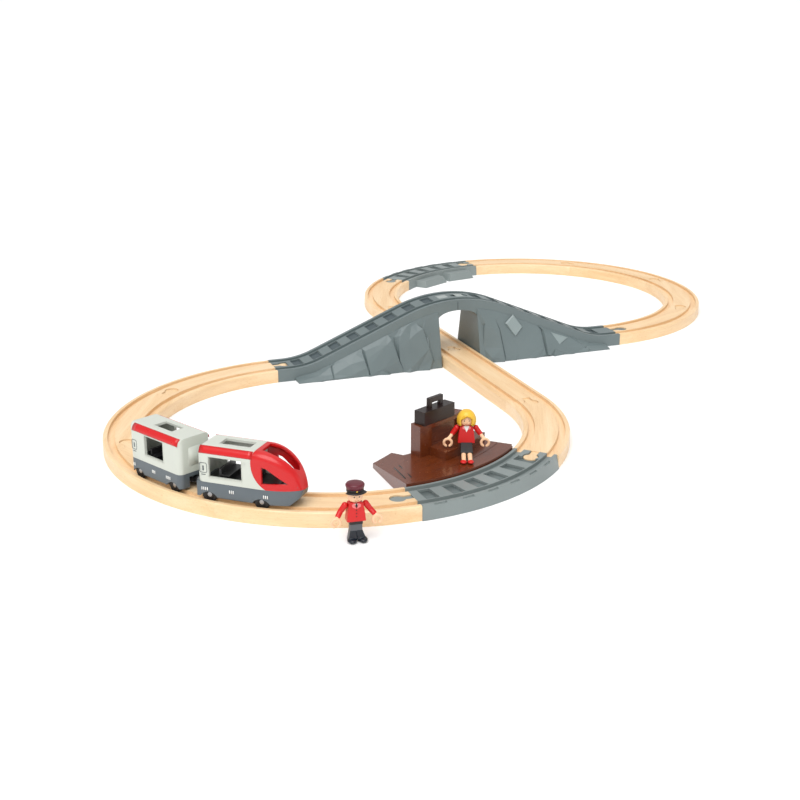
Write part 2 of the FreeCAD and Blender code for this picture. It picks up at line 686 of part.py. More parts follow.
def engine_plan(inset, low, height):
    """The plan of the engine, pushed up: straight sides, a square rear and a long elliptical nose."""
    half = value("body_half_width") - inset
    rear = value("engine_rear") + inset
    start = value("hood_start")
    nose = Part.ArcOfEllipse(Part.Ellipse(Vector(start, 0, low), value("nose_reach") - inset, half),
                             -math.pi / 2, math.pi / 2)
    corners = [Vector(x, y, low) for x, y in ((start, half), (rear, half), (rear, -half), (start, -half))]
    edges = [nose] + [Part.LineSegment(corners[k], corners[k + 1]) for k in range(3)]
    return Part.Face(Part.Wire([edge.toShape() for edge in edges])).extrude(Vector(0, 0, height))


def engine_volume(inset):
    """The engine's body above the sill: a level roof that falls in one arc to the nose, with round edges."""
    low = value("sill_height")
    rear = value("engine_rear") + inset
    start = value("hood_start")
    radius = value("hood_radius") - inset
    top = value("roof_top") - inset
    centre = top - radius
    reach = math.sqrt(radius ** 2 - (low - centre) ** 2)
    half_way = math.radians(value("hood_bow"))
    middle = Vector(start + radius * math.cos(half_way), 0, centre + radius * math.sin(half_way))
    foot, brow = Vector(start + reach, 0, low), Vector(start, 0, top)
    heel, back = Vector(rear, 0, low), Vector(rear, 0, top)
    edges = [Part.LineSegment(heel, back), Part.LineSegment(back, brow), Part.Arc(brow, middle, foot),
             Part.LineSegment(foot, heel)]
    side = slab(Part.Face(Part.Wire([edge.toShape() for edge in edges])), value("body_half_width"))
    body = side.common(engine_plan(inset, low, top))
    upper = [edge for edge in body.Edges
             if edge.BoundBox.ZMax > low + inset + 1 and not joins_tangent(edge, start)]
    return body.makeFillet(value("roof_round") - inset, upper)


def joins_tangent(edge, along):
    """Whether an edge only marks where the straight sides and the level roof run on into the nose."""
    return edge.BoundBox.XMax - edge.BoundBox.XMin < 0.1 and abs(edge.BoundBox.XMin - along) < 0.1


def solid_feature(shape):
    item = doc.addObject("Part::Feature", "moulding")
    item.Shape = shape
    return item


def seam_zone():
    """Everything ahead of the curved seam between the shell and the hood."""
    half = dim("body_half_width") * 2
    along = dim("seam_along")
    disc = cylinder(dim("seam_radius"), half * 2, (along, half, dim("seam_height")), ALONG_X, 90)
    ahead = box(dim("nose_reach"), half * 2, dim("roof_top") * 2, (along, -half, 0))
    return fuse([disc, ahead])


def across_body(rear, front, low, high):
    """A window block right across a body."""
    half = dim("body_half_width") * 2
    return box(front - rear, half * 2, high - low, (rear, -half, low))


def roof_opening(rear, front):
    half = dim("roof_opening_half")
    low = dim("roof_top") - dim("roof_round")
    return box(front - rear, half * 2, dim("roof_round") * 2, (rear, -half, low))


def skirt(name, plan, rear, front, place, pivots):
    """The lower body: a floor over a hollow that holds the axles, with arches cut round the wheels."""
    half = dim("body_half_width")
    low = dim("skirt_bottom")
    floor = dim("floor_underside")
    wall = dim("skirt_wall")
    hollow = box(front - rear - wall * 2, (half - wall) * 2, floor - low, (rear + wall, wall - half, low))
    arches = []
    bearings = []
    for side in (-1, 1):
        x = dim("half_wheelbase") * side
        arches.append(cylinder(dim("arch_cut_radius"), half * 4, (x, half * 2, dim("arch_cut_height")),
                               ALONG_X, 90))
        bearings += [bearing(x, across) for across in (-1, 1)]
    gates = []
    posts = []
    for end in pivots:
        x = dim("coupler_pivot") * end
        gate = dim("coupler_gate_length")
        gates.append(box(gate, dim("coupler_gate") * 2, floor - low,
                         (x if end > 0 else x - gate, -dim("coupler_gate"), low)))
        posts += post(x)
    keep(name, fuse([cut(plan, [hollow] + arches + gates)] + bearings + posts), place)


def bearing(x, across):
    """A block that hangs from the floor and holds the axle."""
    width = dim("bearing_width")
    length = dim("bearing_length")
    below = axle_height() - dim("bearing_below")
    y = dim("bearing_across") * across
    block = box(length, width, dim("floor_underside") - below, (x - length / 2, y - width / 2, below))
    bore = cylinder(dim("axle_radius") + dim("bearing_clearance"), width * 2, (x, y + width, axle_height()),
                    ALONG_X, 90)
    return cut(block, [bore])


def post(x):
    """The headed post that a coupler swivels on."""
    low = dim("coupler_low") - dim("pivot_head_gap")
    return [cylinder(dim("pivot_radius"), dim("floor_underside") - low, (x, 0, low)),
            cylinder(dim("pivot_head"), dim("pivot_head_thick"), (x, 0, low - dim("pivot_head_thick")))]


def axle_height():
    return dim("track_thickness") - dim("groove_depth") + dim("wheel_radius") + dim("wheel_lift")


def wheelset(name, side, place):
    """A steel axle with a cap at each end and a wheel pressed on behind each cap."""
    x = dim("half_wheelbase") * side
    inner = dim("wheel_inner_face")
    outer = inner + dim("wheel_thickness")
    cap = dim("cap_thickness")
    rod = cylinder(dim("axle_radius"), (outer - cap) * 2, (x, outer - cap, axle_height()), ALONG_X, 90)
    caps = [cylinder(dim("cap_radius"), cap, (x, across, axle_height()), ALONG_X, 90)
            for across in (outer, cap - outer)]
    keep(name + "_axle", fuse([rod] + caps), place)
    for label, face, cap_face in (("left", outer, outer), ("right", -inner, cap - outer)):
        disc = cylinder(dim("wheel_radius"), dim("wheel_thickness"), (x, face, axle_height()), ALONG_X, 90)
        bore = cylinder(dim("axle_radius"), dim("wheel_thickness"), (x, face, axle_height()), ALONG_X, 90)
        recess = cylinder(dim("cap_radius"), cap, (x, cap_face, axle_height()), ALONG_X, 90)
        keep("%s_wheel_%s" % (name, label), cut(disc, [bore, recess]), place)


def coupler(name, reach, place):
    """A drawbar that swivels on a post, with a round magnet in its nose."""
    low, thick = dim("coupler_low"), dim("coupler_thick")
    width = dim("coupler_width")
    nose = as_size(reach) - dim("magnet_thickness")
    centre = low + thick / 2
    eye = cylinder(dim("coupler_eye"), thick, (0, 0, low))
    bar = box(nose, width, thick, (0, -width / 2, low))
    cup = cylinder(dim("magnet_radius"), dim("magnet_cup"), (nose - dim("magnet_cup"), 0, centre), ALONG_Y, 90)
    bore = cylinder(dim("pivot_radius") + dim("bearing_clearance"), thick, (0, 0, low))
    keep(name, cut(fuse([eye, bar, cup]), [bore]), place)
    disc = cylinder(dim("magnet_radius"), dim("magnet_thickness"), (nose, 0, centre), ALONG_Y, 90)
    dimple = cylinder(dim("magnet_dimple"), dim("magnet_dimple_depth"),
                      (as_size(reach) - dim("magnet_dimple_depth"), 0, centre), ALONG_Y, 90)
    keep(name + "_magnet", cut(disc, [dimple]), place)


def seats(rear, front, spots):
    """The floor plate and the benches inside a body."""
    half = dim("body_half_width") - dim("shell_wall") - dim("seat_gap")
    level = dim("sill_height")
    seat_floor = dim("seat_floor")
    bench_half = half - dim("bench_side_gap")
    parts = [box(front - rear, half * 2, seat_floor, (rear, -half, level))]
    for x in spots:
        parts.append(box(dim("bench_depth"), bench_half * 2, dim("bench_height"),
                         (x, -bench_half, level + seat_floor)))
        parts.append(box(dim("bench_back"), bench_half * 2, dim("bench_back_height"),
                         (x - dim("bench_back"), -bench_half, level + seat_floor)))
    return fuse(parts)


def wagon(place):
    half_length = dim("wagon_half_length")
    low = dim("sill_height")
    base = dim("skirt_bottom")
    holes = [roof_opening(-dim("wagon_roof_half"), dim("wagon_roof_half")),
             across_body(-dim("wagon_window_half"), dim("wagon_window_half"), dim("wagon_window_low"),
                         dim("wagon_window_high"))]
    keep("wagon_shell", cut(wagon_volume(0), [wagon_volume(dim("shell_wall"))] + holes), place)
    plan = rounded_plan(-half_length, half_length, dim("body_half_width"), base, low - base,
                        dim("corner_round"))
    skirt("wagon_skirt", plan, -half_length, half_length, place, (-1, 1))
    inner = half_length - dim("roof_round")
    keep("wagon_seats", seats(-inner, inner, (value("wagon_bench_rear"), value("wagon_bench_front"))), place)
    for label, side in (("front", 1), ("rear", -1)):
        wheelset("wagon_" + label, side, place)


def engine(place):
    low = dim("sill_height")
    wide = dim("body_half_width") * 4
    wall = value("shell_wall")
    outer_skin = engine_volume(0)
    inner_skin = engine_volume(wall)
    hollow_body = outer_skin.cut(inner_skin)
    pin_hole = cylinder(dim("pin_radius"), wide, (dim("pin_along"), wide / 2, dim("pin_height")), ALONG_X, 90)
    holes = [roof_opening(dim("engine_roof_rear"), dim("engine_roof_front")), pin_hole,
             across_body(dim("engine_window_rear"), dim("engine_window_front"), dim("engine_window_low"),
                         dim("engine_window_high"))]
    keep("engine_shell", cut(solid_feature(hollow_body), [seam_zone()] + holes), place)
    quarter = prism([(dim("quarter_rear"), dim("quarter_low")), (dim("quarter_front"), dim("quarter_low") + 1),
                     (dim("quarter_peak"), dim("quarter_top") - 1), (dim("quarter_rear"), dim("quarter_top"))],
                    wide, SIDE_VIEW, ALONG_Y)
    right_side = [(dim("screen_rear"), -dim("screen_rear_half")),
                  (dim("screen_middle"), -dim("screen_middle_half")),
                  (dim("screen_front"), -dim("screen_front_half"))]
    left_side = [(along, -across) for along, across in reversed(right_side)]
    screen = prism(right_side + [(dim("screen_tip"), as_size(0))] + left_side, dim("roof_top") * 2,
                   centred=False)
    above_sill = box(wide, wide, dim("roof_top"), (0, -wide / 2, low + dim("roof_round")))
    hood = common([solid_feature(hollow_body), seam_zone()])
    keep("engine_hood", cut(hood, [quarter, common([screen, above_sill])]), place)
    base = value("skirt_bottom")
    plan = solid_feature(engine_plan(0, base, value("sill_height") - base))
    chin = prism([(dim("chin_start"), dim("skirt_bottom") - 1), (dim("chin_middle"), dim("chin_rise")),
                  (dim("chin_end"), low), (dim("chin_end") * 2, low),
                  (dim("chin_end") * 2, dim("skirt_bottom") - 1)],
                 wide, SIDE_VIEW, ALONG_Y)
    skirt("engine_skirt", cut(plan, [chin]), dim("engine_rear"), dim("engine_floor_end"), place, (-1,))
    benches = seats(dim("engine_rear") + dim("roof_round"), dim("hood_start") + dim("cabin_nose"),
                    (value("engine_bench_rear"), value("engine_bench_front")))
    room = solid_feature(engine_plan(wall + value("seat_gap"), value("sill_height"), value("roof_top")))
    keep("engine_seats", common([benches, room]), place)
    face = dim("body_half_width") + dim("pin_stand")
    pins = [cylinder(dim("pin_radius"), dim("pin_length"), (dim("pin_along"), across, dim("pin_height")),
                     ALONG_X, 90)
            for across in (face, dim("pin_length") - face)]
    keep("engine_window_pins", fuse(pins), place)
    for label, side in (("front", 1), ("rear", -1)):
        wheelset("engine_" + label, side, place)


def local_point(place, x):
    return place.multVec(Vector(x, 0, 0))


def heading_between(start, end):
    return math.degrees(math.atan2(end.y - start.y, end.x - start.x))


# ---------------------------------------------------------------- figures

def hip_pin_hole(radius):
    outer = dim("leg_outer")
    return cylinder(radius, outer * 2, (-outer, 0, dim("hip_height")), ALONG_Y, 90)


def legs(name, sole_length, place):
    """Both legs on one hip barrel, which turns on a pin through the torso."""
    hip, outer, gap = dim("hip_height"), dim("leg_outer"), dim("leg_gap")
    depth = dim("leg_half_depth")
    parts = [hip_pin_hole(dim("hip_radius"))]
    for start in (gap, -outer):
        parts.append(box(outer - gap, depth * 2, hip, (start, -depth, 0)))
        parts.append(box(outer - gap, sole_length, dim("sole_height"), (start, depth - sole_length, 0)))
    keep(name, cut(fuse(parts), [hip_pin_hole(dim("pin_rod") + dim("bearing_clearance"))]), place)


def torso(name, place):
    base, top = dim("torso_base"), dim("torso_top")
    wide, narrow = dim("torso_base_half"), dim("torso_top_half")
    hip, rod = dim("hip_height"), dim("pin_rod")
    block = prism([(wide, base), (narrow, top), (-narrow, top), (-wide, base)], dim("torso_half_depth") * 2,
                  SIDE_VIEW, ALONG_Y)
    neck_hole = cylinder(dim("neck_radius") + dim("bearing_clearance"), dim("neck_depth") + dim("hip_play"),
                         (0, 0, top - dim("neck_depth") - dim("hip_play")))
    inside = dim("leg_outer") + dim("hip_play")
    hip_space = cylinder(dim("hip_radius") + dim("hip_play"), inside * 2, (-inside, 0, hip), ALONG_Y, 90)
    cheek, depth, drop = dim("cheek_width"), dim("cheek_depth"), dim("cheek_drop")
    cheeks = [box(cheek, depth, base - hip + drop + rod, (x, -depth / 2, hip - drop))
              for x in (inside, -inside - cheek)]
    hip_pin = cylinder(rod, inside * 2, (-inside, 0, hip), ALONG_Y, 90)
    pins = [cylinder(rod, dim("shoulder_pin"), (x, 0, dim("shoulder_height")), ALONG_Y, 90)
            for x in (narrow - dim("pin_sunk"), dim("pin_sunk") - narrow - dim("shoulder_pin"))]
    keep(name, fuse([cut(block, [hip_space, neck_hole]), hip_pin] + cheeks + pins), place)


def head(name, place):
    base, radius, height = dim("head_base"), dim("head_radius"), dim("head_height")
    chin, crown = dim("chin_height"), dim("crown_inset")
    neck_low = dim("torso_top") - dim("neck_depth")
    keep(name, fuse([cone(radius - dim("chin_inset"), radius, chin, (0, 0, base)),
                     cylinder(radius, height - chin - crown, (0, 0, base + chin)),
                     cone(radius, radius - crown, crown, (0, 0, base + height - crown)),
                     cylinder(dim("neck_radius"), base + chin - neck_low, (0, 0, neck_low))]), place)


def head_top():
    return dim("head_base") + dim("head_height")


def cap(name, place):
    """A peaked cap that sits down over the crown of the head."""
    base, band, crown = dim("cap_base"), dim("cap_band"), dim("cap_crown")
    low_radius, high_radius = dim("cap_band_radius"), dim("cap_crown_radius")
    reach, thick = dim("cap_peak_reach"), dim("cap_peak")
    peak = common([cylinder(high_radius, thick, (0, -reach, base)),
                   box(high_radius * 2, high_radius * 2, thick,
                       (-high_radius, -high_radius * 2 - reach / 2, base))])
    outside = fuse([cylinder(low_radius, band, (0, 0, base)),
                    cone(low_radius, high_radius, crown, (0, 0, base + band)),
                    cone(high_radius, dim("cap_lid_radius"), dim("cap_lid"), (0, 0, base + band + crown)), peak])
    keep(name, cut(outside, [cylinder(dim("head_radius"), head_top() - base, (0, 0, base))]), place)


def hair(name, place):
    """A bob: a round cap of hair that is open over the face and reaches down to the collar."""
    radius = dim("head_radius")
    low, top = dim("head_base") + dim("hair_low"), head_top()
    side = radius + dim("hair_flare")
    outside = fuse([cone(radius + dim("hair_grow"), side, top - low, (0, 0, low)),
                    cone(side, radius - dim("hair_top_inset"), dim("hair_top"), (0, 0, top))])
    face = box(dim("face_half") * 2, side * 2, top - dim("fringe_drop") - low,
               (-dim("face_half"), -side * 2, low))
    keep(name, cut(outside, [cylinder(radius, top - low, (0, 0, low)), face]), place)


def arm(name, side, place):
    """A bent arm that hangs from the shoulder pin, with a ring-shaped hand open below."""
    shoulder = Vector(value("shoulder_out") * side, 0, value("shoulder_height"))
    elbow = shoulder + Vector(value("elbow_out") * side, value("elbow_back"), -value("elbow_drop"))
    wrist = elbow + Vector(value("wrist_out") * side, -value("wrist_forward"), -value("wrist_drop"))
    palm = wrist + Vector(value("palm_out") * side, -value("palm_forward"), -value("palm_drop"))
    knuckle = palm + Vector(0, 0, value("hand_radius"))
    radius = dim("arm_radius")
    parts = [ball(radius, shoulder), ball(radius, elbow), limb(radius, shoulder, elbow),
             limb(radius, elbow, wrist), limb(dim("wrist_radius"), wrist, knuckle)]
    hand = doc.addObject("Part::Torus", "hand")
    bind(hand, "Radius1", dim("hand_radius"))
    bind(hand, "Radius2", dim("hand_bar"))
    bind(hand, "Angle3", dim("hand_sweep"))
    open_below = Rotation(UP, -90 + (360 - value("hand_sweep")) / 2)
    hand.Placement = Placement(palm, Rotation(ALONG_X, 90).multiply(open_below))
    inward = value("shoulder_out") - value("bore_start")
    if side < 0:
        inward = -inward - value("shoulder_pin")
    bore = cylinder(dim("pin_rod") + dim("bearing_clearance"), dim("shoulder_pin"),
                    (inward, 0, dim("shoulder_height")), ALONG_Y, 90)
    keep(name, cut(fuse(parts + [hand]), [bore]), place)


def limb(radius, start, end):
    """A round bar between two points."""
    way = end - start
    item = doc.addObject("Part::Cylinder", "limb")
    bind(item, "Radius", radius)
    bind(item, "Height", as_size(way.Length))
    item.Placement = Placement(start, Rotation(UP, way))
    return item


def figure(name, place, hip_turn, head_cover, sole_length):
    """A jointed toy figure that faces local -Y; a hip turn lifts the feet forward."""
    pivot = Vector(0, 0, value("hip_height"))
    bent = place.multiply(Placement(Vector(0, 0, 0), Rotation(ALONG_X, -hip_turn), pivot))
    torso(name + "_torso", place)
    legs(name + "_legs", sole_length, bent)
    head(name + "_head", place)
    head_cover(place)
    arm(name + "_arm_left", 1, place)
    arm(name + "_arm_right", -1, place)


# ---------------------------------------------------------------- the set

def build_track():
    for count, start in enumerate((90, 135, 180, 225, 315), start=1):
        curve("front_curve_%d" % count, FRONT_CENTRE, start, wooden_blank(), wooden_hollow(), True,
              start == 90)
    for count, start in enumerate((270, 315, 0, 45, 135), start=1):
        curve("back_curve_%d" % count, BACK_CENTRE, start, wooden_blank(), wooden_hollow(), False,
              start == 270)
    curve("station_curve", FRONT_CENTRE, 270, ballast_blank(), ballast_hollow(), True)
    rocks = [rock("one"), rock("two")]
    curve("rock_curve", BACK_CENTRE, 90, ballast_blank(), ballast_hollow(), False, extras=rocks)
    straight("straight_front", 0)
    straight("straight_back", value("curve_radius"))
    bridge_half("bridge_left", 0, True)
    bridge_half("bridge_right", 180, False)


def build_train():
    engine_place = vehicle_place(value("engine_angle"))
    wagon_place = vehicle_place(value("wagon_angle"))
    engine(engine_place)
    wagon(wagon_place)
    engine_pivot = local_point(engine_place, -value("coupler_pivot"))
    wagon_pivot = local_point(wagon_place, value("coupler_pivot"))
    reach = (engine_pivot.distanceToPoint(wagon_pivot) - value("magnet_gap")) / 2
    coupler("engine_coupler", reach, turned(engine_pivot, heading_between(engine_pivot, wagon_pivot)))
    coupler("wagon_front_coupler", reach, turned(wagon_pivot, heading_between(wagon_pivot, engine_pivot)))
    rear_pivot = local_point(wagon_place, -value("coupler_pivot"))
    coupler("wagon_rear_coupler", reach, turned(rear_pivot, value("wagon_angle") - 90))


def build_figures():
    standing = Placement(Vector(value("conductor_x"), value("conductor_y"), 0),
                         Rotation(UP, value("conductor_turn")))
    figure("conductor", standing, 0, lambda place: cap("conductor_cap", place), dim("conductor_sole"))
    seat_lift = value("seat_top") + value("hip_radius") + value("hip_play") - value("hip_height")
    seated = Placement(Vector(value("passenger_x"), value("passenger_y"), seat_lift),
                       Rotation(UP, value("passenger_turn")))
    figure("passenger", seated, value("passenger_hip_turn"), lambda place: hair("passenger_hair", place),
           dim("passenger_sole"))


def check_and_write():
    """Stop on any failed object or bad shape, then write every sub-part."""
    doc.recompute()
    for item in doc.Objects:
        if "Invalid" in item.State or "Error" in item.State:
            raise RuntimeError("%s (%s) failed: %s" % (item.Name, item.Label, item.State))
    os.makedirs("parts", exist_ok=True)
    for name, item in nodes.items():
        shape = item.Shape
        if shape.isNull() or not shape.isValid() or not shape.Solids:
            raise RuntimeError("%s has no valid solid" % name)
        shape.exportStep("parts/%s.step" % name)
        bounds = shape.optimalBoundingBox(False)
        print("%-24s solids %d  volume %9.1f  x %.1f..%.1f  y %.1f..%.1f  z %.1f..%.1f" % (
            name, len(shape.Solids), shape.Volume, bounds.XMin, bounds.XMax, bounds.YMin, bounds.YMax,
            bounds.ZMin, bounds.ZMax))
    print(len(nodes), "nodes")


build_track()
station_platform()
station_bench()
suitcase()
build_train()
build_figures()
check_and_write()
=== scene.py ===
"""The looks of a push-along railway set: wooden track, plastic bridge and station, train and two toy figures.

Lengths in the builders below are millimetres and become metres when a piece is made.
"""
import json
import math
import random

import bmesh
import bpy
from mathutils import Matrix, Vector
from mathutils.geometry import delaunay_2d_cdt


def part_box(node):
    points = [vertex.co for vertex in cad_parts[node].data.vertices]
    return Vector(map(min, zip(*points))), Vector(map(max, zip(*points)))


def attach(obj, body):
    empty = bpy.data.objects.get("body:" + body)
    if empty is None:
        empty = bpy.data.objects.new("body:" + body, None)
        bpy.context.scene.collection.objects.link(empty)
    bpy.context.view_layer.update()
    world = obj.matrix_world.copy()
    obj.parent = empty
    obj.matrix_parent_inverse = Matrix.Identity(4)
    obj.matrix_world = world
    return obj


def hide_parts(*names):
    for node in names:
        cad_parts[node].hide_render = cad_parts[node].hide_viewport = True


MM = 0.001
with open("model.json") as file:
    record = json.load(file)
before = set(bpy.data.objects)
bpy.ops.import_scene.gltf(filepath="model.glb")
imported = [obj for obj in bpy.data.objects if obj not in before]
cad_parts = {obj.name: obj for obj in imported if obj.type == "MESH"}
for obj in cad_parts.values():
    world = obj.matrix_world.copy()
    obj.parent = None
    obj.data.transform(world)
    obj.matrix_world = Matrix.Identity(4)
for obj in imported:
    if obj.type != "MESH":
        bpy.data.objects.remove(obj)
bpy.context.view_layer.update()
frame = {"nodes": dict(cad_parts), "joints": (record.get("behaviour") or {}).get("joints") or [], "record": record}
NODES = frame["nodes"]
JOINTS = {joint["name"]: joint for joint in frame["joints"]}
SLOTS = {part["node"]: part["material_slot"] for part in frame["record"]["subparts"]}


# ---------------------------------------------------------------- materials

def linear(red, green, blue):
    """An sRGB colour from 0 to 255 as the linear colour that shaders take."""
    def channel(amount):
        amount /= 255
        return amount / 12.92 if amount <= 0.04045 else ((amount + 0.055) / 1.055) ** 2.4
    return (channel(red), channel(green), channel(blue), 1.0)


class Shader:
    """A node tree being built."""

    def __init__(self, name):
        self.material = bpy.data.materials.new(name)
        self.material.use_nodes = True
        self.tree = self.material.node_tree
        self.surface = self.tree.nodes["Principled BSDF"]

    def add(self, kind, settings=None, **inputs):
        node = self.tree.nodes.new(kind)
        for key, amount in (settings or {}).items():
            setattr(node, key, amount)
        for key, amount in inputs.items():
            socket = node.inputs[key.replace("_", " ")]
            if isinstance(amount, bpy.types.NodeSocket):
                self.tree.links.new(amount, socket)
            else:
                socket.default_value = amount
        return node

    def noise(self, vector, scale, detail=4.0, roughness=0.55):
        node = self.add("ShaderNodeTexNoise", None, Vector=vector, Scale=scale, Detail=detail)
        node.inputs["Roughness"].default_value = roughness
        return node.outputs["Fac"]

    def ramp(self, factor, stops):
        node = self.add("ShaderNodeValToRGB", None, Fac=factor)
        elements = node.color_ramp.elements
        while len(elements) < len(stops):
            elements.new(0.5)
        for element, (place, colour) in zip(elements, stops):
            element.position = place
            element.color = colour
        return node.outputs["Color"]

    def mix(self, factor, first, second, blend="MIX"):
        node = self.add("ShaderNodeMix", {"data_type": "RGBA", "blend_type": blend})
        for index, amount in ((0, factor), (6, first), (7, second)):
            if isinstance(amount, bpy.types.NodeSocket):
                self.tree.links.new(amount, node.inputs[index])
            else:
                node.inputs[index].default_value = amount
        return node.outputs[2]

    def link(self, output, name):
        self.tree.links.new(output, self.surface.inputs[name])

    def relief(self, height, distance, strength, edge=0.0):
        """Bump from a height, over softly rounded edges."""
        node = self.add("ShaderNodeBump", None, Height=height, Distance=distance, Strength=strength)
        if edge:
            soft = self.add("ShaderNodeBevel", {"samples": 4}, Radius=edge * MM)
            self.tree.links.new(soft.outputs["Normal"], node.inputs["Normal"])
        self.link(node.outputs["Normal"], "Normal")

    def place(self, turn=0.0, stretch=(1, 1, 1), shift=(0, 0, 0)):
        """Object coordinates turned about Z, then stretched along each axis."""
        where = self.add("ShaderNodeTexCoord").outputs["Object"]
        turned = self.add("ShaderNodeMapping", {"vector_type": "POINT"}, Vector=where, Rotation=(0, 0, -turn))
        stretched = self.add("ShaderNodeMapping", {"vector_type": "POINT"}, Vector=turned.outputs["Vector"],
                             Scale=stretch, Location=shift)
        return stretched.outputs["Vector"]


def plastic(name, colour, roughness=0.4, mottle=0.06, grain=0.25, edge=0.35, coat=0.0, streak=None):
    """Moulded plastic: a fine spark texture, slow changes of tone and faint scuffs in the gloss."""
    shader = Shader(name)
    where = shader.place()
    base = linear(*colour)
    deep = tuple(channel * (1 - mottle * 2) for channel in base[:3]) + (1,)
    lift = tuple(min(1, channel * (1 + mottle) + mottle * 0.03) for channel in base[:3]) + (1,)
    slow = shader.noise(where, 18.0, 2.0)
    tone = shader.ramp(slow, [(0.3, deep), (0.5, base), (0.72, lift)])
    fine = shader.noise(where, 2600.0, 2.0)
    speck = shader.ramp(fine, [(0.35, (0.94, 0.94, 0.94, 1)), (0.65, (1, 1, 1, 1))])
    tone = shader.mix(grain, tone, speck, "MULTIPLY")
    if streak:
        long_grain = shader.noise(shader.place(streak[0], (6, 90, 90)), 9.0, 6.0, 0.65)
        lines = shader.ramp(long_grain, [(0.38, linear(*streak[1])), (0.6, (1, 1, 1, 1))])
        tone = shader.mix(0.6, tone, lines, "MULTIPLY")
    shader.link(tone, "Base Color")
    scuff = shader.noise(where, 320.0, 5.0, 0.7)
    gloss = shader.ramp(scuff, [(0.3, (roughness * 0.9,) * 3 + (1,)),
                                (0.7, (min(1, roughness * 1.12),) * 3 + (1,))])
    shader.link(gloss, "Roughness")
    shader.surface.inputs["IOR"].default_value = 1.5
    shader.surface.inputs["Coat Weight"].default_value = coat
    shader.surface.inputs["Coat Roughness"].default_value = 0.08
    shader.relief(fine, 0.00008, grain, edge)
    return shader.material


def wood(name, turn, seed):
    """Clear-lacquered beech: straight grain along the board, slow bands, short dark flecks and open pores."""
    shader = Shader(name)
    dice = random.Random(seed)
    shift = tuple(dice.uniform(-3, 3) for _ in range(3))
    warm = dice.uniform(-6, 6)
    bands = shader.noise(shader.place(turn, (4.5, 48, 60), shift), 2.2, 5.0, 0.6)
    pale = linear(243 + warm * 0.3, 214 + warm * 0.6, 174 + warm)
    middle = linear(238 + warm * 0.3, 205 + warm * 0.6, 161 + warm)
    dark = linear(230 + warm * 0.3, 193 + warm * 0.6, 146 + warm)
    tone = shader.ramp(bands, [(0.3, dark), (0.5, middle), (0.68, pale)])
    fibres = shader.noise(shader.place(turn, (14, 420, 420), shift), 3.0, 4.0, 0.7)
    lines = shader.ramp(fibres, [(0.34, (0.9, 0.85, 0.78, 1)), (0.55, (1, 1, 1, 1))])
    tone = shader.mix(0.55, tone, lines, "MULTIPLY")
    flecks = shader.noise(shader.place(turn, (60, 700, 700), shift), 3.4, 1.0, 0.4)
    marks = shader.ramp(flecks, [(0.25, (0.68, 0.52, 0.36, 1)), (0.32, (1, 1, 1, 1))])
    tone = shader.mix(0.6, tone, marks, "MULTIPLY")
    shader.link(tone, "Base Color")
    gloss = shader.ramp(fibres, [(0.3, (0.52, 0.52, 0.52, 1)), (0.7, (0.36, 0.36, 0.36, 1))])
    shader.link(gloss, "Roughness")
    shader.surface.inputs["Coat Weight"].default_value = 0.12
    shader.surface.inputs["Coat Roughness"].default_value = 0.3
    shader.relief(fibres, 0.00012, 0.35, 0.5)
    return shader.material


def metal(name, colour, roughness):
    shader = Shader(name)
    brushed = shader.noise(shader.place(0, (30, 900, 900)), 6.0, 3.0)
    base = linear(*colour)
    shader.link(shader.ramp(brushed, [(0.3, tuple(c * 0.75 for c in base[:3]) + (1,)), (0.7, base)]),
                "Base Color")
    shader.link(shader.ramp(brushed, [(0.3, (roughness * 0.8,) * 3 + (1,)),
                                      (0.7, (roughness * 1.3,) * 3 + (1,))]),
                "Roughness")
    shader.surface.inputs["Metallic"].default_value = 1.0
    shader.relief(brushed, 0.00004, 0.2, 0.15)
    return shader.material


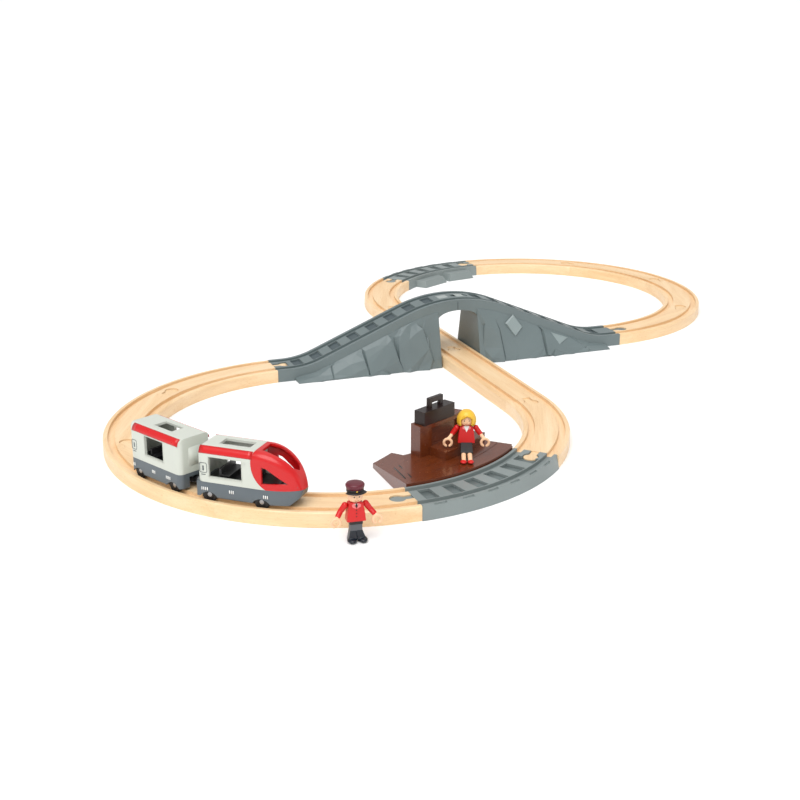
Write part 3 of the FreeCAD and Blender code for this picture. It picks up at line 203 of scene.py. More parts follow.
MATERIALS = {
    "grey_plastic": plastic("slate_moulding", (130, 139, 138), 0.42, 0.04, 0.3, 0.4),
    "bridge_plastic": plastic("bridge_slate", (104, 116, 117), 0.42, 0.04, 0.3, 0.4),
    # Painted shade: darker copies of the slate for the floors of the hollows between the sleepers and for the seam
    # between the bridge halves.
    "curve_hollow_shade_plastic": plastic("curve_hollow_painted_shade", (100, 110, 110), 0.45, 0.04, 0.3, 0.0),
    "painted_shade_plastic": plastic("bridge_painted_shade", (70, 82, 86), 0.5, 0.04, 0.3, 0.0),
    "clip_plastic": plastic("bridge_clip", (158, 166, 164), 0.38, 0.04, 0.2, 0.0),
    # Painted highlight: a lighter copy of the bridge's slate for raised facets, where light falls on them.
    "lit_facet_plastic": plastic("slate_facet_painted_highlight", (136, 148, 148), 0.36, 0.04, 0.3, 0.3),
    "brown_plastic": plastic("brown_gloss", (106, 50, 22), 0.25, 0.05, 0.1, 0.5, 0.3, (0.6, (206, 180, 165))),
    "dark_brown_plastic": plastic("suitcase_black", (34, 20, 18), 0.34, 0.06, 0.2, 0.5),
    "pale_grey_plastic": plastic("pale_grey_gloss", (202, 206, 196), 0.34, 0.015, 0.03, 0.5, 0.1),
    "red_plastic": plastic("signal_red", (202, 14, 18), 0.3, 0.02, 0.03, 0.5, 0.12),
    "slate_plastic": plastic("skirt_grey", (92, 101, 107), 0.42, 0.04, 0.2, 0.4),
    "black_plastic": plastic("wheel_black", (24, 24, 26), 0.38, 0.1, 0.3, 0.3),
    "maroon_plastic": plastic("cap_maroon", (96, 26, 40), 0.36, 0.06, 0.2, 0.3),
    "jacket_plastic": plastic("jacket_red", (206, 22, 20), 0.36, 0.04, 0.1, 0.3),
    "skin_plastic": plastic("figure_skin", (243, 196, 156), 0.42, 0.03, 0.1, 0.3),
    "yellow_plastic": plastic("hair_yellow", (232, 184, 54), 0.36, 0.05, 0.1, 0.3),
    "trouser_plastic": plastic("trouser_grey", (92, 94, 98), 0.5, 0.06, 0.3, 0.3),
    "navy_plastic": plastic("boot_navy", (18, 27, 38), 0.32, 0.08, 0.2, 0.3),
    "white_plastic": plastic("print_white", (236, 236, 232), 0.35, 0.02, 0.1, 0.0),
    "pink_plastic": plastic("lapel_pink", (232, 120, 120), 0.38, 0.04, 0.1, 0.0),
    "print_black": plastic("print_black", (30, 24, 22), 0.4, 0.05, 0.1, 0.0),
    "print_brown": plastic("print_brown", (120, 62, 40), 0.4, 0.05, 0.1, 0.0),
    "print_lip": plastic("print_lip", (196, 92, 74), 0.4, 0.05, 0.1, 0.0),
    "print_grey": plastic("print_grey", (86, 92, 94), 0.4, 0.05, 0.1, 0.0),
    "steel": metal("plated_steel", (176, 176, 178), 0.28),
}


# ---------------------------------------------------------------- building meshes

def piece(name, points, faces, body, material, slot=None, place=Matrix(), flat=False):
    """A new object from points in millimetres, in a local frame that place puts in the world."""
    mesh = bpy.data.meshes.new(name)
    mesh.from_pydata([(place @ Vector(point)) * MM for point in points], [], faces)
    mesh.validate()
    item = bpy.data.objects.new(name, mesh)
    bpy.context.scene.collection.objects.link(item)
    finish_mesh(item, material, flat)
    if body:
        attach(item, body)
    slot = slot or material
    return item


def finish_mesh(item, material, flat=False):
    shape = bmesh.new()
    shape.from_mesh(item.data)
    bmesh.ops.remove_doubles(shape, verts=shape.verts, dist=1e-7)
    bmesh.ops.recalc_face_normals(shape, faces=shape.faces)
    shape.to_mesh(item.data)
    shape.free()
    item.data.materials.clear()
    item.data.materials.append(MATERIALS[material])
    for polygon in item.data.polygons:
        polygon.use_smooth = not flat


def apply_modifiers(item):
    bpy.context.view_layer.update()
    shaped = bpy.data.meshes.new_from_object(item.evaluated_get(bpy.context.evaluated_depsgraph_get()))
    item.modifiers.clear()
    item.data = shaped


def lathe(profile, segments=40):
    """Points and faces of a profile of (radius, height) turned about Z; a radius of 0 closes it."""
    points, faces, rings = [], [], []
    for radius, height in profile:
        if radius < 1e-6:
            rings.append([len(points)] * segments)
            points.append((0, 0, height))
            continue
        rings.append(list(range(len(points), len(points) + segments)))
        for count in range(segments):
            turn = 2 * math.pi * count / segments
            points.append((radius * math.cos(turn), radius * math.sin(turn), height))
    for low, high in zip(rings, rings[1:]):
        for count in range(segments):
            following = (count + 1) % segments
            corners = [low[count], low[following], high[following], high[count]]
            corners = list(dict.fromkeys(corners))
            if len(corners) > 2:
                faces.append(corners)
    return points, faces


def tapered(low_half, high_half, low, high):
    """A block whose half widths change from its base to its top."""
    points = []
    for half, level in ((low_half, low), (high_half, high)):
        points += [(-half[0], -half[1], level), (half[0], -half[1], level), (half[0], half[1], level),
                   (-half[0], half[1], level)]
    faces = [[3, 2, 1, 0], [4, 5, 6, 7]] + [[k, (k + 1) % 4, 4 + (k + 1) % 4, 4 + k] for k in range(4)]
    return points, faces


def ball(centre, radius, squash=(1, 1, 1), rings=12, segments=20):
    profile = [(radius * math.sin(math.pi * k / rings), -radius * math.cos(math.pi * k / rings))
               for k in range(rings + 1)]
    profile[0], profile[-1] = (0, -radius), (0, radius)
    points, faces = lathe(profile, segments)
    return [tuple(centre[k] + point[k] * squash[k] for k in range(3)) for point in points], faces


def rod(path, radii, segments=14):
    """A round bar along points, closed by domes."""
    path = [Vector(point) for point in path]
    if not isinstance(radii, (list, tuple)):
        radii = [radii] * len(path)
    start, end = (path[0] - path[1]).normalized(), (path[-1] - path[-2]).normalized()
    stations = [(path[0] + start * radii[0] * math.sin(a), radii[0] * math.cos(a), -start)
                for a in (1.45, 1.0, 0.5)]
    for index, point in enumerate(path):
        before = path[max(0, index - 1)]
        after = path[min(len(path) - 1, index + 1)]
        stations.append((point, radii[index], (after - before).normalized()))
    stations += [(path[-1] + end * radii[-1] * math.sin(a), radii[-1] * math.cos(a), end)
                 for a in (0.5, 1.0, 1.45)]
    side = stations[0][2].orthogonal().normalized()
    points, faces = [], []
    for centre, radius, ahead in stations:
        side = (side - ahead * side.dot(ahead)).normalized()
        other = ahead.cross(side)
        for count in range(segments):
            turn = 2 * math.pi * count / segments
            points.append(tuple(centre + (side * math.cos(turn) + other * math.sin(turn)) * radius))
    for ring in range(len(stations) - 1):
        for count in range(segments):
            following = (count + 1) % segments
            faces.append([ring * segments + count, ring * segments + following,
                          (ring + 1) * segments + following, (ring + 1) * segments + count])
    faces.append(list(range(segments))[::-1])
    faces.append([len(points) - segments + count for count in range(segments)])
    return points, faces


def joined(*parts):
    points, faces = [], []
    for more_points, more_faces in parts:
        faces += [[index + len(points) for index in face] for face in more_faces]
        points += more_points
    return points, faces


def grid(rows, closed=False):
    """A sheet through rows of points."""
    width = len(rows[0])
    points = [tuple(point) for row in rows for point in row]
    faces = []
    for row in range(len(rows) - 1):
        for count in range(width if closed else width - 1):
            following = (count + 1) % width
            faces.append([row * width + count, row * width + following,
                          (row + 1) * width + following, (row + 1) * width + count])
    return points, faces


def moulded(name, shape, body, material, slot, place, voxel=0.3, smooth=6, replaces=()):
    """One soft-edged moulding from overlapping shapes: joined by remeshing, then smoothed."""
    item = piece(name, shape[0], shape[1], body, material, slot, place)
    remesh = item.modifiers.new("join", "REMESH")
    remesh.mode = "VOXEL"
    remesh.voxel_size = voxel * MM
    soften = item.modifiers.new("soften", "SMOOTH")
    soften.factor = 0.5
    soften.iterations = smooth
    apply_modifiers(item)
    finish_mesh(item, material)
    if replaces:
        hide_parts(*replaces)
    return item


def sheet_piece(name, shape, thickness, body, material, slot, place=Matrix(), flat=False, offset=1.0):
    """A thin piece made from a surface that is given a thickness."""
    item = piece(name, shape[0], shape[1], body, material, slot, place, flat)
    solid = item.modifiers.new("thickness", "SOLIDIFY")
    solid.thickness = thickness * MM
    solid.offset = offset
    apply_modifiers(item)
    finish_mesh(item, material, flat)
    return item


# ---------------------------------------------------------------- carried-over CAD nodes

def grain_turn(node):
    """The direction a board's grain runs in: along the chord of a curve or along a straight."""
    low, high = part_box(node)
    if "straight" in node:
        return math.pi / 2
    loop = 1 if node.startswith("back") else -1
    centre = JOINTS["engine_run"]["pos_m"]
    centre = Vector((abs(centre[0]) * loop, abs(centre[1]) * loop))
    middle = Vector(((low.x + high.x) / 2, (low.y + high.y) / 2)) - centre
    return math.atan2(middle.y, middle.x) + math.pi / 2


for index, (node, item) in enumerate(sorted(NODES.items())):
    slot = SLOTS[node]
    finish = wood("beech_%s" % node, grain_turn(node), index) if slot == "beech" else MATERIALS[slot]
    if node.startswith("bridge"):
        finish = MATERIALS["bridge_plastic"]
    item.data.materials.clear()
    item.data.materials.append(finish)


# ---------------------------------------------------------------- bridge

RISE, SLOPE, VALLEY, CREST, DECK = 55.0, math.radians(22.4), 85.0, 140.0, 12.0
RIM_DEPTH, ROAD_HALF, FOOT_HALF, ARCH_FOOT_HALF, CORNER = 9.0, 20.0, 32.0, 24.0, 34.0
ROCK_START, ARCH_HALF = 174.0, 21.5
LOOP, BED_HALF, BED_DEPTH = 182.0, 9, 2
BRIDGE_HOLLOW_FIRST, BRIDGE_HOLLOW_PITCH, BRIDGE_HOLLOW, BRIDGE_HOLLOW_FLOOR = 22.0, 20.0, 10.0, -1.5
SLEEPER_FIRST, SLEEPER_PITCH, SLEEPER_GAP, SLEEPER_MARGIN = 2.3, 6.9, 3.4, 0.1
HOLLOW_MARGIN, BED_MARGIN = 0.4, 0.3
PLATFORM_TOP, PLATFORM_INNER, PLATFORM_EDGE, PLATFORM_FROM = 14.0, 106.0, 162.5, 282.0
RAMP_FROM, RAMP_INNER, RAMP_LOW = 270.8, 88.0, 4.0
SLOT_ANGLES, SLOT_LEAN, SLOT_INNER, SLOT_OUTER, SLOT_RADIUS, SLOT_SUNK = (272.2,
                                                                          274.1), 1.7, 121.0, 151.0, 0.62, 0.1
ROCK_RELIEF = 0.35


def deck_height(x):
    distance = abs(x)
    crest_end = CREST * math.sin(SLOPE)
    crest_low = DECK + RISE - CREST * (1 - math.cos(SLOPE))
    valley_high = DECK + VALLEY * (1 - math.cos(SLOPE))
    valley_end = crest_end + (crest_low - valley_high) / math.tan(SLOPE)
    foot = valley_end + VALLEY * math.sin(SLOPE)
    if distance <= crest_end:
        return DECK + RISE - CREST + math.sqrt(CREST ** 2 - distance ** 2)
    if distance <= valley_end:
        return crest_low - (distance - crest_end) * math.tan(SLOPE)
    if distance <= foot:
        return DECK + VALLEY - math.sqrt(VALLEY ** 2 - (foot - distance) ** 2)
    return DECK


def rock_point(x, share, proud, side):
    """A point on the rock's flank: share runs from the floor at 0 to the rim at 1."""
    proud *= 1 + ROCK_RELIEF * math.sin(math.pi * min(max(share, 0.0), 1.0))
    rim = max(deck_height(x) - RIM_DEPTH, 1.5)
    foot = FOOT_HALF
    if abs(x) < CORNER:
        foot = ARCH_FOOT_HALF + (FOOT_HALF - ARCH_FOOT_HALF) * (abs(x) - ARCH_HALF) / (CORNER - ARCH_HALF)
    across = ROAD_HALF + (foot - ROAD_HALF) * (1 - share) + proud
    return (x, side * across, rim * share)


def crease(top, low, width, left, right, depth=0.15):
    """A split in the rock from a high to a low point, between two raised lips."""
    points = []
    for step in range(4):
        t = step / 3
        x = top[0] + (low[0] - top[0]) * t
        share = top[1] + (low[1] - top[1]) * t
        half = (width[0] + (width[1] - width[0]) * t) / 2
        points += [(x - half, share, left), (x, share, depth), (x + half, share, right)]
    return points


LEFT_ROCK = (
    crease((-70.5, 0.86), (-68, 0.3), (8, 0.8), 3.0, 2.2, 0.05)
    + crease((-104, 0.88), (-100.5, 0.06), (3.4, 1.8), 2.6, 1.8, 0.1)
    + crease((-137.5, 0.9), (-138, 0.1), (2.6, 1.4), 1.7, 1.2, 0.1)
    + crease((-40, 0.80), (-29, 0.2), (1.6, 7.0), 3.1, 0.4, 0.05)
    + [(-63, 0.94, 1.0), (-58, 0.965, 1.8), (-52, 0.93, 1.0), (-64, 0.86, 3.0), (-47, 0.78, 3.2),
       (-56, 0.7, 3.1), (-56, 0.1, 3.2), (-36, 0.0, 3.0), (-58, 0.0, 3.6), (-80, 0.0, 3.2),
       (-46, 0.93, 0.3), (-34, 0.93, 0.3), (-119, 0.62, 1.9), (-120, 0.12, 1.4), (-112, 0.9, 1.2),
       (-122, 0.88, 0.8), (-87, 0.86, 1.9), (-80, 0.78, 2.4), (-88, 0.16, 2.2), (-100, 0.0, 2.4),
       (-152, 0.6, 1.5), (-160, 0.7, 0.4), (-152, 0.1, 1.4), (-150, 0.0, 1.8), (-24.5, 0.8, 0.3),
       (-24.5, 0.16, 0.4), (-27, 0.1, 1.8), (-23, 0.1, 1.8)])
RIGHT_ROCK = (
    crease((26.5, 0.66), (24.5, 0.1), (2.0, 2.2), 0.5, 2.6, 0.05)
    + crease((44.5, 0.66), (49, 0.1), (1.6, 2.2), 3.0, 1.4, 0.3)
    + crease((95.5, 0.9), (98, 0.06), (3.4, 1.8), 1.2, 2.6, 0.05)
    + crease((139, 0.9), (150, 0.2), (5, 3.4), 1.6, 1.2)
    + [(29, 0.74, 2.4), (33, 0.84, 1.6), (41, 0.84, 1.6), (37, 0.66, 3.0), (33, 0.1, 3.4),
       (44, 0.1, 3.2), (34, 0.0, 3.8), (48, 0.0, 3.0), (52, 0.74, 0.6), (75, 0.42, 1.4),
       (78, 0.12, 1.2), (62, 0.0, 1.6), (104, 0.82, 2.8), (108, 0.3, 2.6), (106, 0.0, 3.0),
       (118, 0.4, 2.0), (124, 0.12, 1.8), (128, 0.0, 2.4), (134, 0.86, 2.2), (148, 0.6, 1.8),
       (163, 0.4, 0.8), (84, 0.0, 2.2), (66, 0.25, 1.0)])


def rock_skin(name, points, side, start, end):
    """The faceted flank: flat triangles between raised and sunk points, closed behind."""
    spread = 45.0
    marks = list(points)
    steps = 11
    for step in range(steps + 1):
        x = start + (end - start) * step / steps
        marks += [(x, 0.0, 0.35), (x, 1.0, 0.3)]
    for share in (0.25, 0.5, 0.75):
        marks += [(start, share, 0.3), (end, share, 0.5)]
    flat = [Vector((x, share * spread)) for x, share, _ in marks]
    triangles = delaunay_2d_cdt(flat, [], [], 0, 1e-5)[2]
    shape = ([rock_point(*mark, side) for mark in marks], [list(face) for face in triangles])
    skin = sheet_piece(name, shape, 0.7, "layout", "bridge_plastic", "grey_plastic", flat=True, offset=-1.0)
    for vertex in skin.data.vertices:
        vertex.co.z = max(vertex.co.z, 0.00002)
    return skin


def deck_pad(name, start, end, half, lift, material, thick=0.3):
    """A thin plate that follows the roadbed between the grooves."""
    rows = [[(start + (end - start) * step / 6, half * share,
              deck_height(start + (end - start) * step / 6) + lift)
             for share in (-1, -0.5, 0, 0.5, 1)] for step in range(7)]
    sheet_piece(name, grid(rows), thick, "layout", material, "grey_plastic", offset=0.0)


def build_hollows():
    """Painted shade: darker sheets on the floors of the hollows between the sleepers of the bridge and the plastic
    curves, standing for the shade in the recesses.
    """
    for count in range(8):
        start = BRIDGE_HOLLOW_FIRST + BRIDGE_HOLLOW_PITCH * count
        for side, label in ((-1, "left"), (1, "right")):
            deck_pad("bridge_%s_hollow_%d" % (label, count), side * (start + HOLLOW_MARGIN),
                     side * (start + BRIDGE_HOLLOW - HOLLOW_MARGIN), BED_HALF - BED_MARGIN,
                     BRIDGE_HOLLOW_FLOOR,
                     "painted_shade_plastic")
    for name, centre, first in (("station", (-LOOP, -LOOP), 270.0), ("rock", (LOOP, LOOP), 90.0)):
        for count in range(6):
            start = first + SLEEPER_FIRST + SLEEPER_PITCH * count
            rows = []
            for step in range(5):
                turn = math.radians(start + SLEEPER_MARGIN + (SLEEPER_GAP - 2 * SLEEPER_MARGIN) * step / 4)
                rows.append([(centre[0] + radius * math.cos(turn), centre[1] + radius * math.sin(turn),
                              DECK - BED_DEPTH + 0.1)
                             for radius in (LOOP - BED_HALF + BED_MARGIN, LOOP,
                                            LOOP + BED_HALF - BED_MARGIN)])
            sheet_piece("%s_curve_hollow_%d" % (name, count), grid(rows), 0.2, "layout", "curve_hollow_shade_plastic",
                        "grey_plastic", offset=0.0)


def around_station(radius, angle, level=0.0):
    turn = math.radians(angle)
    return Vector((radius * math.cos(turn) - LOOP, radius * math.sin(turn) - LOOP, level))


def build_ramp_slots():
    """The two grooves across the station's ramp, on the plane through three of its corners, as dark rods: painted
    shade for the inside of each groove.
    """
    high = around_station(PLATFORM_EDGE, RAMP_FROM, PLATFORM_TOP)
    back = around_station(PLATFORM_INNER, PLATFORM_FROM, PLATFORM_TOP)
    low = around_station(RAMP_INNER, RAMP_FROM, RAMP_LOW)
    normal = (back - high).cross(low - high)
    for count, angle in enumerate(SLOT_ANGLES):
        line = []
        for radius, lean in ((SLOT_INNER, SLOT_LEAN), (SLOT_OUTER, 0.0)):
            spot = around_station(radius, angle + lean)
            rise = high.z - (normal.x * (spot.x - high.x) + normal.y * (spot.y - high.y)) / normal.z
            line.append((spot.x, spot.y, min(rise, PLATFORM_TOP) - SLOT_SUNK))
        piece("station_ramp_slot_%d" % count, *rod(line, SLOT_RADIUS, 10), "station", "dark_brown_plastic",
              "brown_plastic")


def lozenge(name, corners, side):
    """A smooth raised facet in the rock: a plate with sloping edges, in a lighter copy of the slate that paints
    light falling on it.
    """
    middle = [sum(corner[k] for corner in corners) / len(corners) for k in (0, 1)]
    rows = []
    for grow, proud in ((1.0, 1.0), (0.86, 2.4)):
        spread = [(middle[0] + (x - middle[0]) * grow, middle[1] + (share - middle[1]) * grow)
                  for x, share in corners]
        rows.append([rock_point(x, share, proud, side) for x, share in spread])
    points, faces = grid(rows, closed=True)
    faces.append([len(corners) + k for k in range(len(corners))])
    faces.append(list(range(len(corners)))[::-1])
    piece(name, points, faces, "layout", "lit_facet_plastic", "grey_plastic", flat=True)


def build_bridge():
    deck_pad("bridge_clip_left", -15, -4.5, 5.6, 0.0, "clip_plastic", 0.1)
    deck_pad("bridge_clip_right", 4.5, 13.5, 5.6, 0.0, "clip_plastic", 0.1)
    for side, label in ((-1, "front"), (1, "back")):
        rock_skin("bridge_left_rock_" + label, LEFT_ROCK, side, -ROCK_START, -ARCH_HALF)
        rock_skin("bridge_right_rock_" + label, RIGHT_ROCK, side, ARCH_HALF, ROCK_START)
        lozenge("bridge_diamond_" + label, [(62.5, 0.54), (72.5, 0.82), (62.5, 1.06), (52, 0.8)], side)
        # Painted shade: a dark strip standing for the shadow in the gap between the two halves.
        edge = ((20.06, 57.2), (20.06, 65.2), (19.6, 65.9), (14, 66.0))
        seam = [[(x, side * across, level) for across, level in edge] for x in (-0.35, 0.35)]
        sheet_piece("bridge_seam_" + label, grid(seam), 0.12, "layout", "painted_shade_plastic", "grey_plastic",
                    offset=0.0)
        lozenge("bridge_wedge_" + label, [(105, 0.92), (113.6, 0.45), (127, 0.9)], side)


# ---------------------------------------------------------------- train

def vehicle(name):
    """The vehicle's own frame from its axles: +X forwards, the outer side of the loop towards -Y."""
    front = Vector(JOINTS[name + "_front_wheels_spin"]["pos_m"])
    rear = Vector(JOINTS[name + "_rear_wheels_spin"]["pos_m"])
    middle = (front + rear) / 2 / MM
    ahead = front - rear
    turn = math.atan2(ahead.y, ahead.x)
    return Matrix.Translation((middle.x, middle.y, 0)) @ Matrix.Rotation(turn, 4, "Z")


SIDE_Y, EAVE, ROUND, WHEEL_FACE = 15.4, 48.0, 6.0, 13.8
AXLE_REACH, AXLE_HEIGHT, WAGON_HALF, HOOD_FROM = 21.5, 15.3, 31.2, 18.0
DOOR_SIGN, DOOR_LEAF, DOOR_STEP = (37.0, (6.4, 8.0)), (36.7, (1.3, 4.0)), (31.6, (3.8, 0.6))
VENT_LEVEL, VENT_PITCH, VENT_SIZE = 20.3, 1.5, (0.75, 2.6)
LAMP_TURN, LAMP_LEVEL, LAMP_AHEAD, LAMP_ACROSS = 25, 28.4, 33.2, 14.8
GANGWAY_SIZE, GANGWAY_LEVEL = (13, 15), 38.5
STRIPE_LOW, STRIPE_HIGH, STRIPE_STEPS = 4, 66, 9


def side_stripe(name, body, rear, front, side, place):
    """A painted band that runs over the rounded eave."""
    rows = []
    for step in range(STRIPE_STEPS + 1):
        angle = math.radians(STRIPE_LOW + (STRIPE_HIGH - STRIPE_LOW) * step / STRIPE_STEPS)
        across = side * (SIDE_Y - ROUND + (ROUND + 0.02) * math.cos(angle))
        level = EAVE + (ROUND + 0.02) * math.sin(angle)
        rows.append([(rear + (front - rear) * k / 12, across, level) for k in range(13)])
    sheet_piece(name, grid(rows), 0.22, body, "red_plastic", "red_plastic", place, offset=0.0)


def frame_outline(width, height, radius, steps=5):
    points = []
    for cx, cz, first in ((width / 2 - radius, height / 2 - radius, 0),
                          (radius - width / 2, height / 2 - radius, 90),
                          (radius - width / 2, radius - height / 2, 180),
                          (width / 2 - radius, radius - height / 2, 270)):
        for step in range(steps + 1):
            turn = math.radians(first + 90 * step / steps)
            points.append((cx + radius * math.cos(turn), cz + radius * math.sin(turn)))
    return points


def side_ring(name, body, centre, size, radius, line, side, place, material, proud=0.14):
    """A thin raised frame on a vehicle's side."""
    rows = []
    for shrink, out in ((0, -0.1), (0, proud), (line, proud), (line, -0.1)):
        outline = frame_outline(size[0] - 2 * shrink, size[1] - 2 * shrink, max(radius - shrink, 0.3))
        rows.append([(centre[0] + x, side * (SIDE_Y + out), centre[1] + z) for x, z in outline])
    rows.append(rows[0])
    points, faces = grid(rows, closed=True)
    piece(name, points, faces, body, material, material, place)


def side_plate(name, body, centre, size, radius, side, place, material, proud=0.1):
    outline = frame_outline(size[0], size[1], radius)
    rows = [[(centre[0] + x, side * (SIDE_Y + out), centre[1] + z) for x, z in outline]
            for out in (-0.2, proud)]
    points, faces = grid(rows, closed=True)
    faces += [list(range(len(outline)))[::-1], [len(outline) + k for k in range(len(outline))]]
    piece(name, points, faces, body, material, material, place)


def side_details(name, body, place, door_at, vents, window, side, label):
    """What is printed or moulded on one side: a door sign, vents on the skirt, a window frame."""
    side_ring("%s_door_%s" % (name, label), body, (door_at, DOOR_SIGN[0]), DOOR_SIGN[1], 1.5, 0.4, side,
              place, "print_grey")
    side_plate("%s_door_leaf_%s" % (name, label), body, (door_at, DOOR_LEAF[0]), DOOR_LEAF[1], 0.6, side,
               place, "print_grey")
    side_plate("%s_door_step_%s" % (name, label), body, (door_at, DOOR_STEP[0]), DOOR_STEP[1], 0.3, side,
               place, "print_grey")
    side_ring("%s_window_frame_%s" % (name, label), body,
              ((window[0] + window[1]) / 2, (window[2] + window[3]) / 2),
              (window[1] - window[0] + 1.3, window[3] - window[2] + 1.3), 0.9, 0.65, side, place,
              "pale_grey_plastic", 0.2)
    for count, (at, bars) in enumerate(vents):
        for bar in range(bars):
            side_plate("%s_vent_%d_%d_%s" % (name, count, bar, label), body,
                       (at + VENT_PITCH * bar, VENT_LEVEL), VENT_SIZE, 0.35,
                       side, place, "white_plastic", 0.12)


def wheel_faces(name, place):
    """A raised rim and spoke ring on the outer face of each wheel."""
    for end, along in (("front", AXLE_REACH), ("rear", -AXLE_REACH)):
        for label, side in (("left", 1), ("right", -1)):
            profile = [(radius, WHEEL_FACE + out) for radius, out in
                       ((2.1, -0.2), (2.1, 0.08), (2.2, 0.13), (2.9, 0.13), (3.0, 0.03), (4.7, 0.03),
                        (4.85, 0.14),
                        (5.5, 0.14), (5.7, 0.03), (5.7, -0.2), (2.1, -0.2))]
            points, faces = lathe(profile, 40)
            to_side = Matrix.Translation((along, 0,
                                          AXLE_HEIGHT)) @ Matrix.Rotation(math.radians(-90 * side), 4, "X")
            piece("%s_%s_wheel_rim_%s" % (name, end, label), points, faces, "%s_%s_wheels" % (name, end),
                  "black_plastic", "black_plastic", place @ to_side)
            for count in range(5):
                turn = 2 * math.pi * count / 5
                shape = rod([(3.0 * math.cos(turn), 3.0 * math.sin(turn), WHEEL_FACE - 0.16),
                             (4.8 * math.cos(turn), 4.8 * math.sin(turn), WHEEL_FACE - 0.16)], 0.28, 8)
                piece("%s_%s_wheel_web_%d_%s" % (name, end, count, label), *shape,
                      "%s_%s_wheels" % (name, end),
                      "black_plastic", "black_plastic", place @ to_side)


def build_train():
    for name, door_at, window, stripe, vents in (
            ("engine", -25.2, (-20.5, 6.5, 30.3, 46.0), (-28.5, 15.2), ((-27, 4), (-4, 3), (24, 3))),
            ("wagon", -25.2, (-11.5, 11.5, 31.5, 47.5), (-27.5, 29.5), ((-27.5, 2), (-3.5, 3), (14, 4)))):
        place = vehicle(name)
        for side, label in ((-1, "outer"), (1, "inner")):
            side_stripe("%s_stripe_%s" % (name, label), name, stripe[0], stripe[1], side, place)
            side_details(name, name, place, door_at, vents, window, side, label)
        wheel_faces(name, place)
    engine = vehicle("engine")
    for side, label in ((-1, "outer"), (1, "inner")):
        angle = math.radians(LAMP_TURN) * side
        spot = (HOOD_FROM + LAMP_AHEAD * math.cos(angle), LAMP_ACROSS * math.sin(angle), LAMP_LEVEL)
        piece("engine_lamp_" + label, *ball(spot, 1.15, (0.6, 1, 0.9)), "engine", "white_plastic", None,
              engine)
        rim = [(spot[0] - 0.25, spot[1] + 1.35 * math.cos(turn), spot[2] + 1.2 * math.sin(turn))
               for turn in (math.radians(15 * count) for count in range(25))]
        piece("engine_lamp_rim_" + label, *rod(rim, 0.22, 8), "engine", "print_grey", None, engine)
    for end, name in ((1, "front"), (-1, "rear")):
        wagon = vehicle("wagon")
        outline = frame_outline(*GANGWAY_SIZE, 2)
        rows = [[(end * (WAGON_HALF + out), across, GANGWAY_LEVEL + level) for across, level in outline]
                for out in (-0.2, 0.12)]
        points, faces = grid(rows, closed=True)
        count = len(rows[0])
        faces += [list(range(count))[::-1], [count + k for k in range(count)]]
        piece("wagon_gangway_" + name, points, faces, "wagon", "pale_grey_plastic", "pale_grey_plastic",
              wagon)


# ---------------------------------------------------------------- figures

NECK, HIPS = 31.6, 16.5


def figure_frame(name):
    """A figure's own frame from its joints: it faces -Y, and its feet would stand at height 0."""
    neck = Vector(JOINTS[name + "_head_swivel"]["pos_m"]) / MM
    axis = JOINTS[name + "_hips_bend"]["axis"]
    turn = math.atan2(-axis[1], -axis[0])
    return Matrix.Translation((neck.x, neck.y, neck.z - NECK)) @ Matrix.Rotation(turn, 4, "Z")


def leg_frame(name, bend):
    """The legs' frame: the figure's own frame turned about the hips."""
    hips = Matrix.Translation((0, 0, HIPS))
    return figure_frame(name) @ hips @ Matrix.Rotation(math.radians(-bend), 4, "X") @ hips.inverted()


def on_head(turn, level, out=0.0, radius=5.6):
    """A point on the face: turn is degrees to the figure's left of straight ahead."""
    angle = math.radians(turn)
    reach = radius + out
    return (reach * math.sin(angle), -reach * math.cos(angle), level)


def face(name, place, brow):
    body = name + "_head"
    for side, label in ((1, "left"), (-1, "right")):
        eye = ball(on_head(19 * side, 36.0, -0.15), 0.62, (0.85, 0.55, 1.1))
        piece("%s_eye_%s" % (name, label), *eye, body, "print_black", "skin_plastic", place)
        glint = ball(on_head(19 * side - 3, 36.3, 0.16), 0.17)
        piece("%s_eye_glint_%s" % (name, label), *glint, body, "white_plastic", "skin_plastic", place)
        arch = [on_head((12 + 5 * k) * side, 37.35 + 0.25 * math.sin(math.pi * k / 3)) for k in range(4)]
        line = rod(arch, 0.16, 8)
        piece("%s_brow_%s" % (name, label), *line, body, brow, "skin_plastic", place)
    curve = [on_head(-16 + 4 * k, 33.35 - 0.42 * math.cos(math.radians(-80 + 20 * k))) for k in range(9)]
    smile = rod(curve, 0.15, 8)
    piece(name + "_mouth", *smile, body, "print_lip", "skin_plastic", place)
    piece(name + "_nose", *ball(on_head(0, 34.7, 0.0), 0.62, (0.8, 0.7, 0.9)), body, "skin_plastic",
          "skin_plastic", place)


def head(name, place):
    profile = [(0, 31.2), (3.0, 31.2), (4.3, 31.8), (5.1, 32.7), (5.5, 33.8), (5.62, 35.5), (5.62, 38.0),
               (5.4, 39.3),
               (4.6, 40.3), (2.5, 41.0), (0, 41.1)]
    neck = lathe([(0, 28.5), (2.4, 28.5), (2.4, 32.0), (0, 32.0)], 32)
    moulded(name + "_head_skin", joined(lathe(profile, 48), neck), name + "_head", "skin_plastic",
            "skin_plastic", place,
            0.28, 3, [name + "_head"])


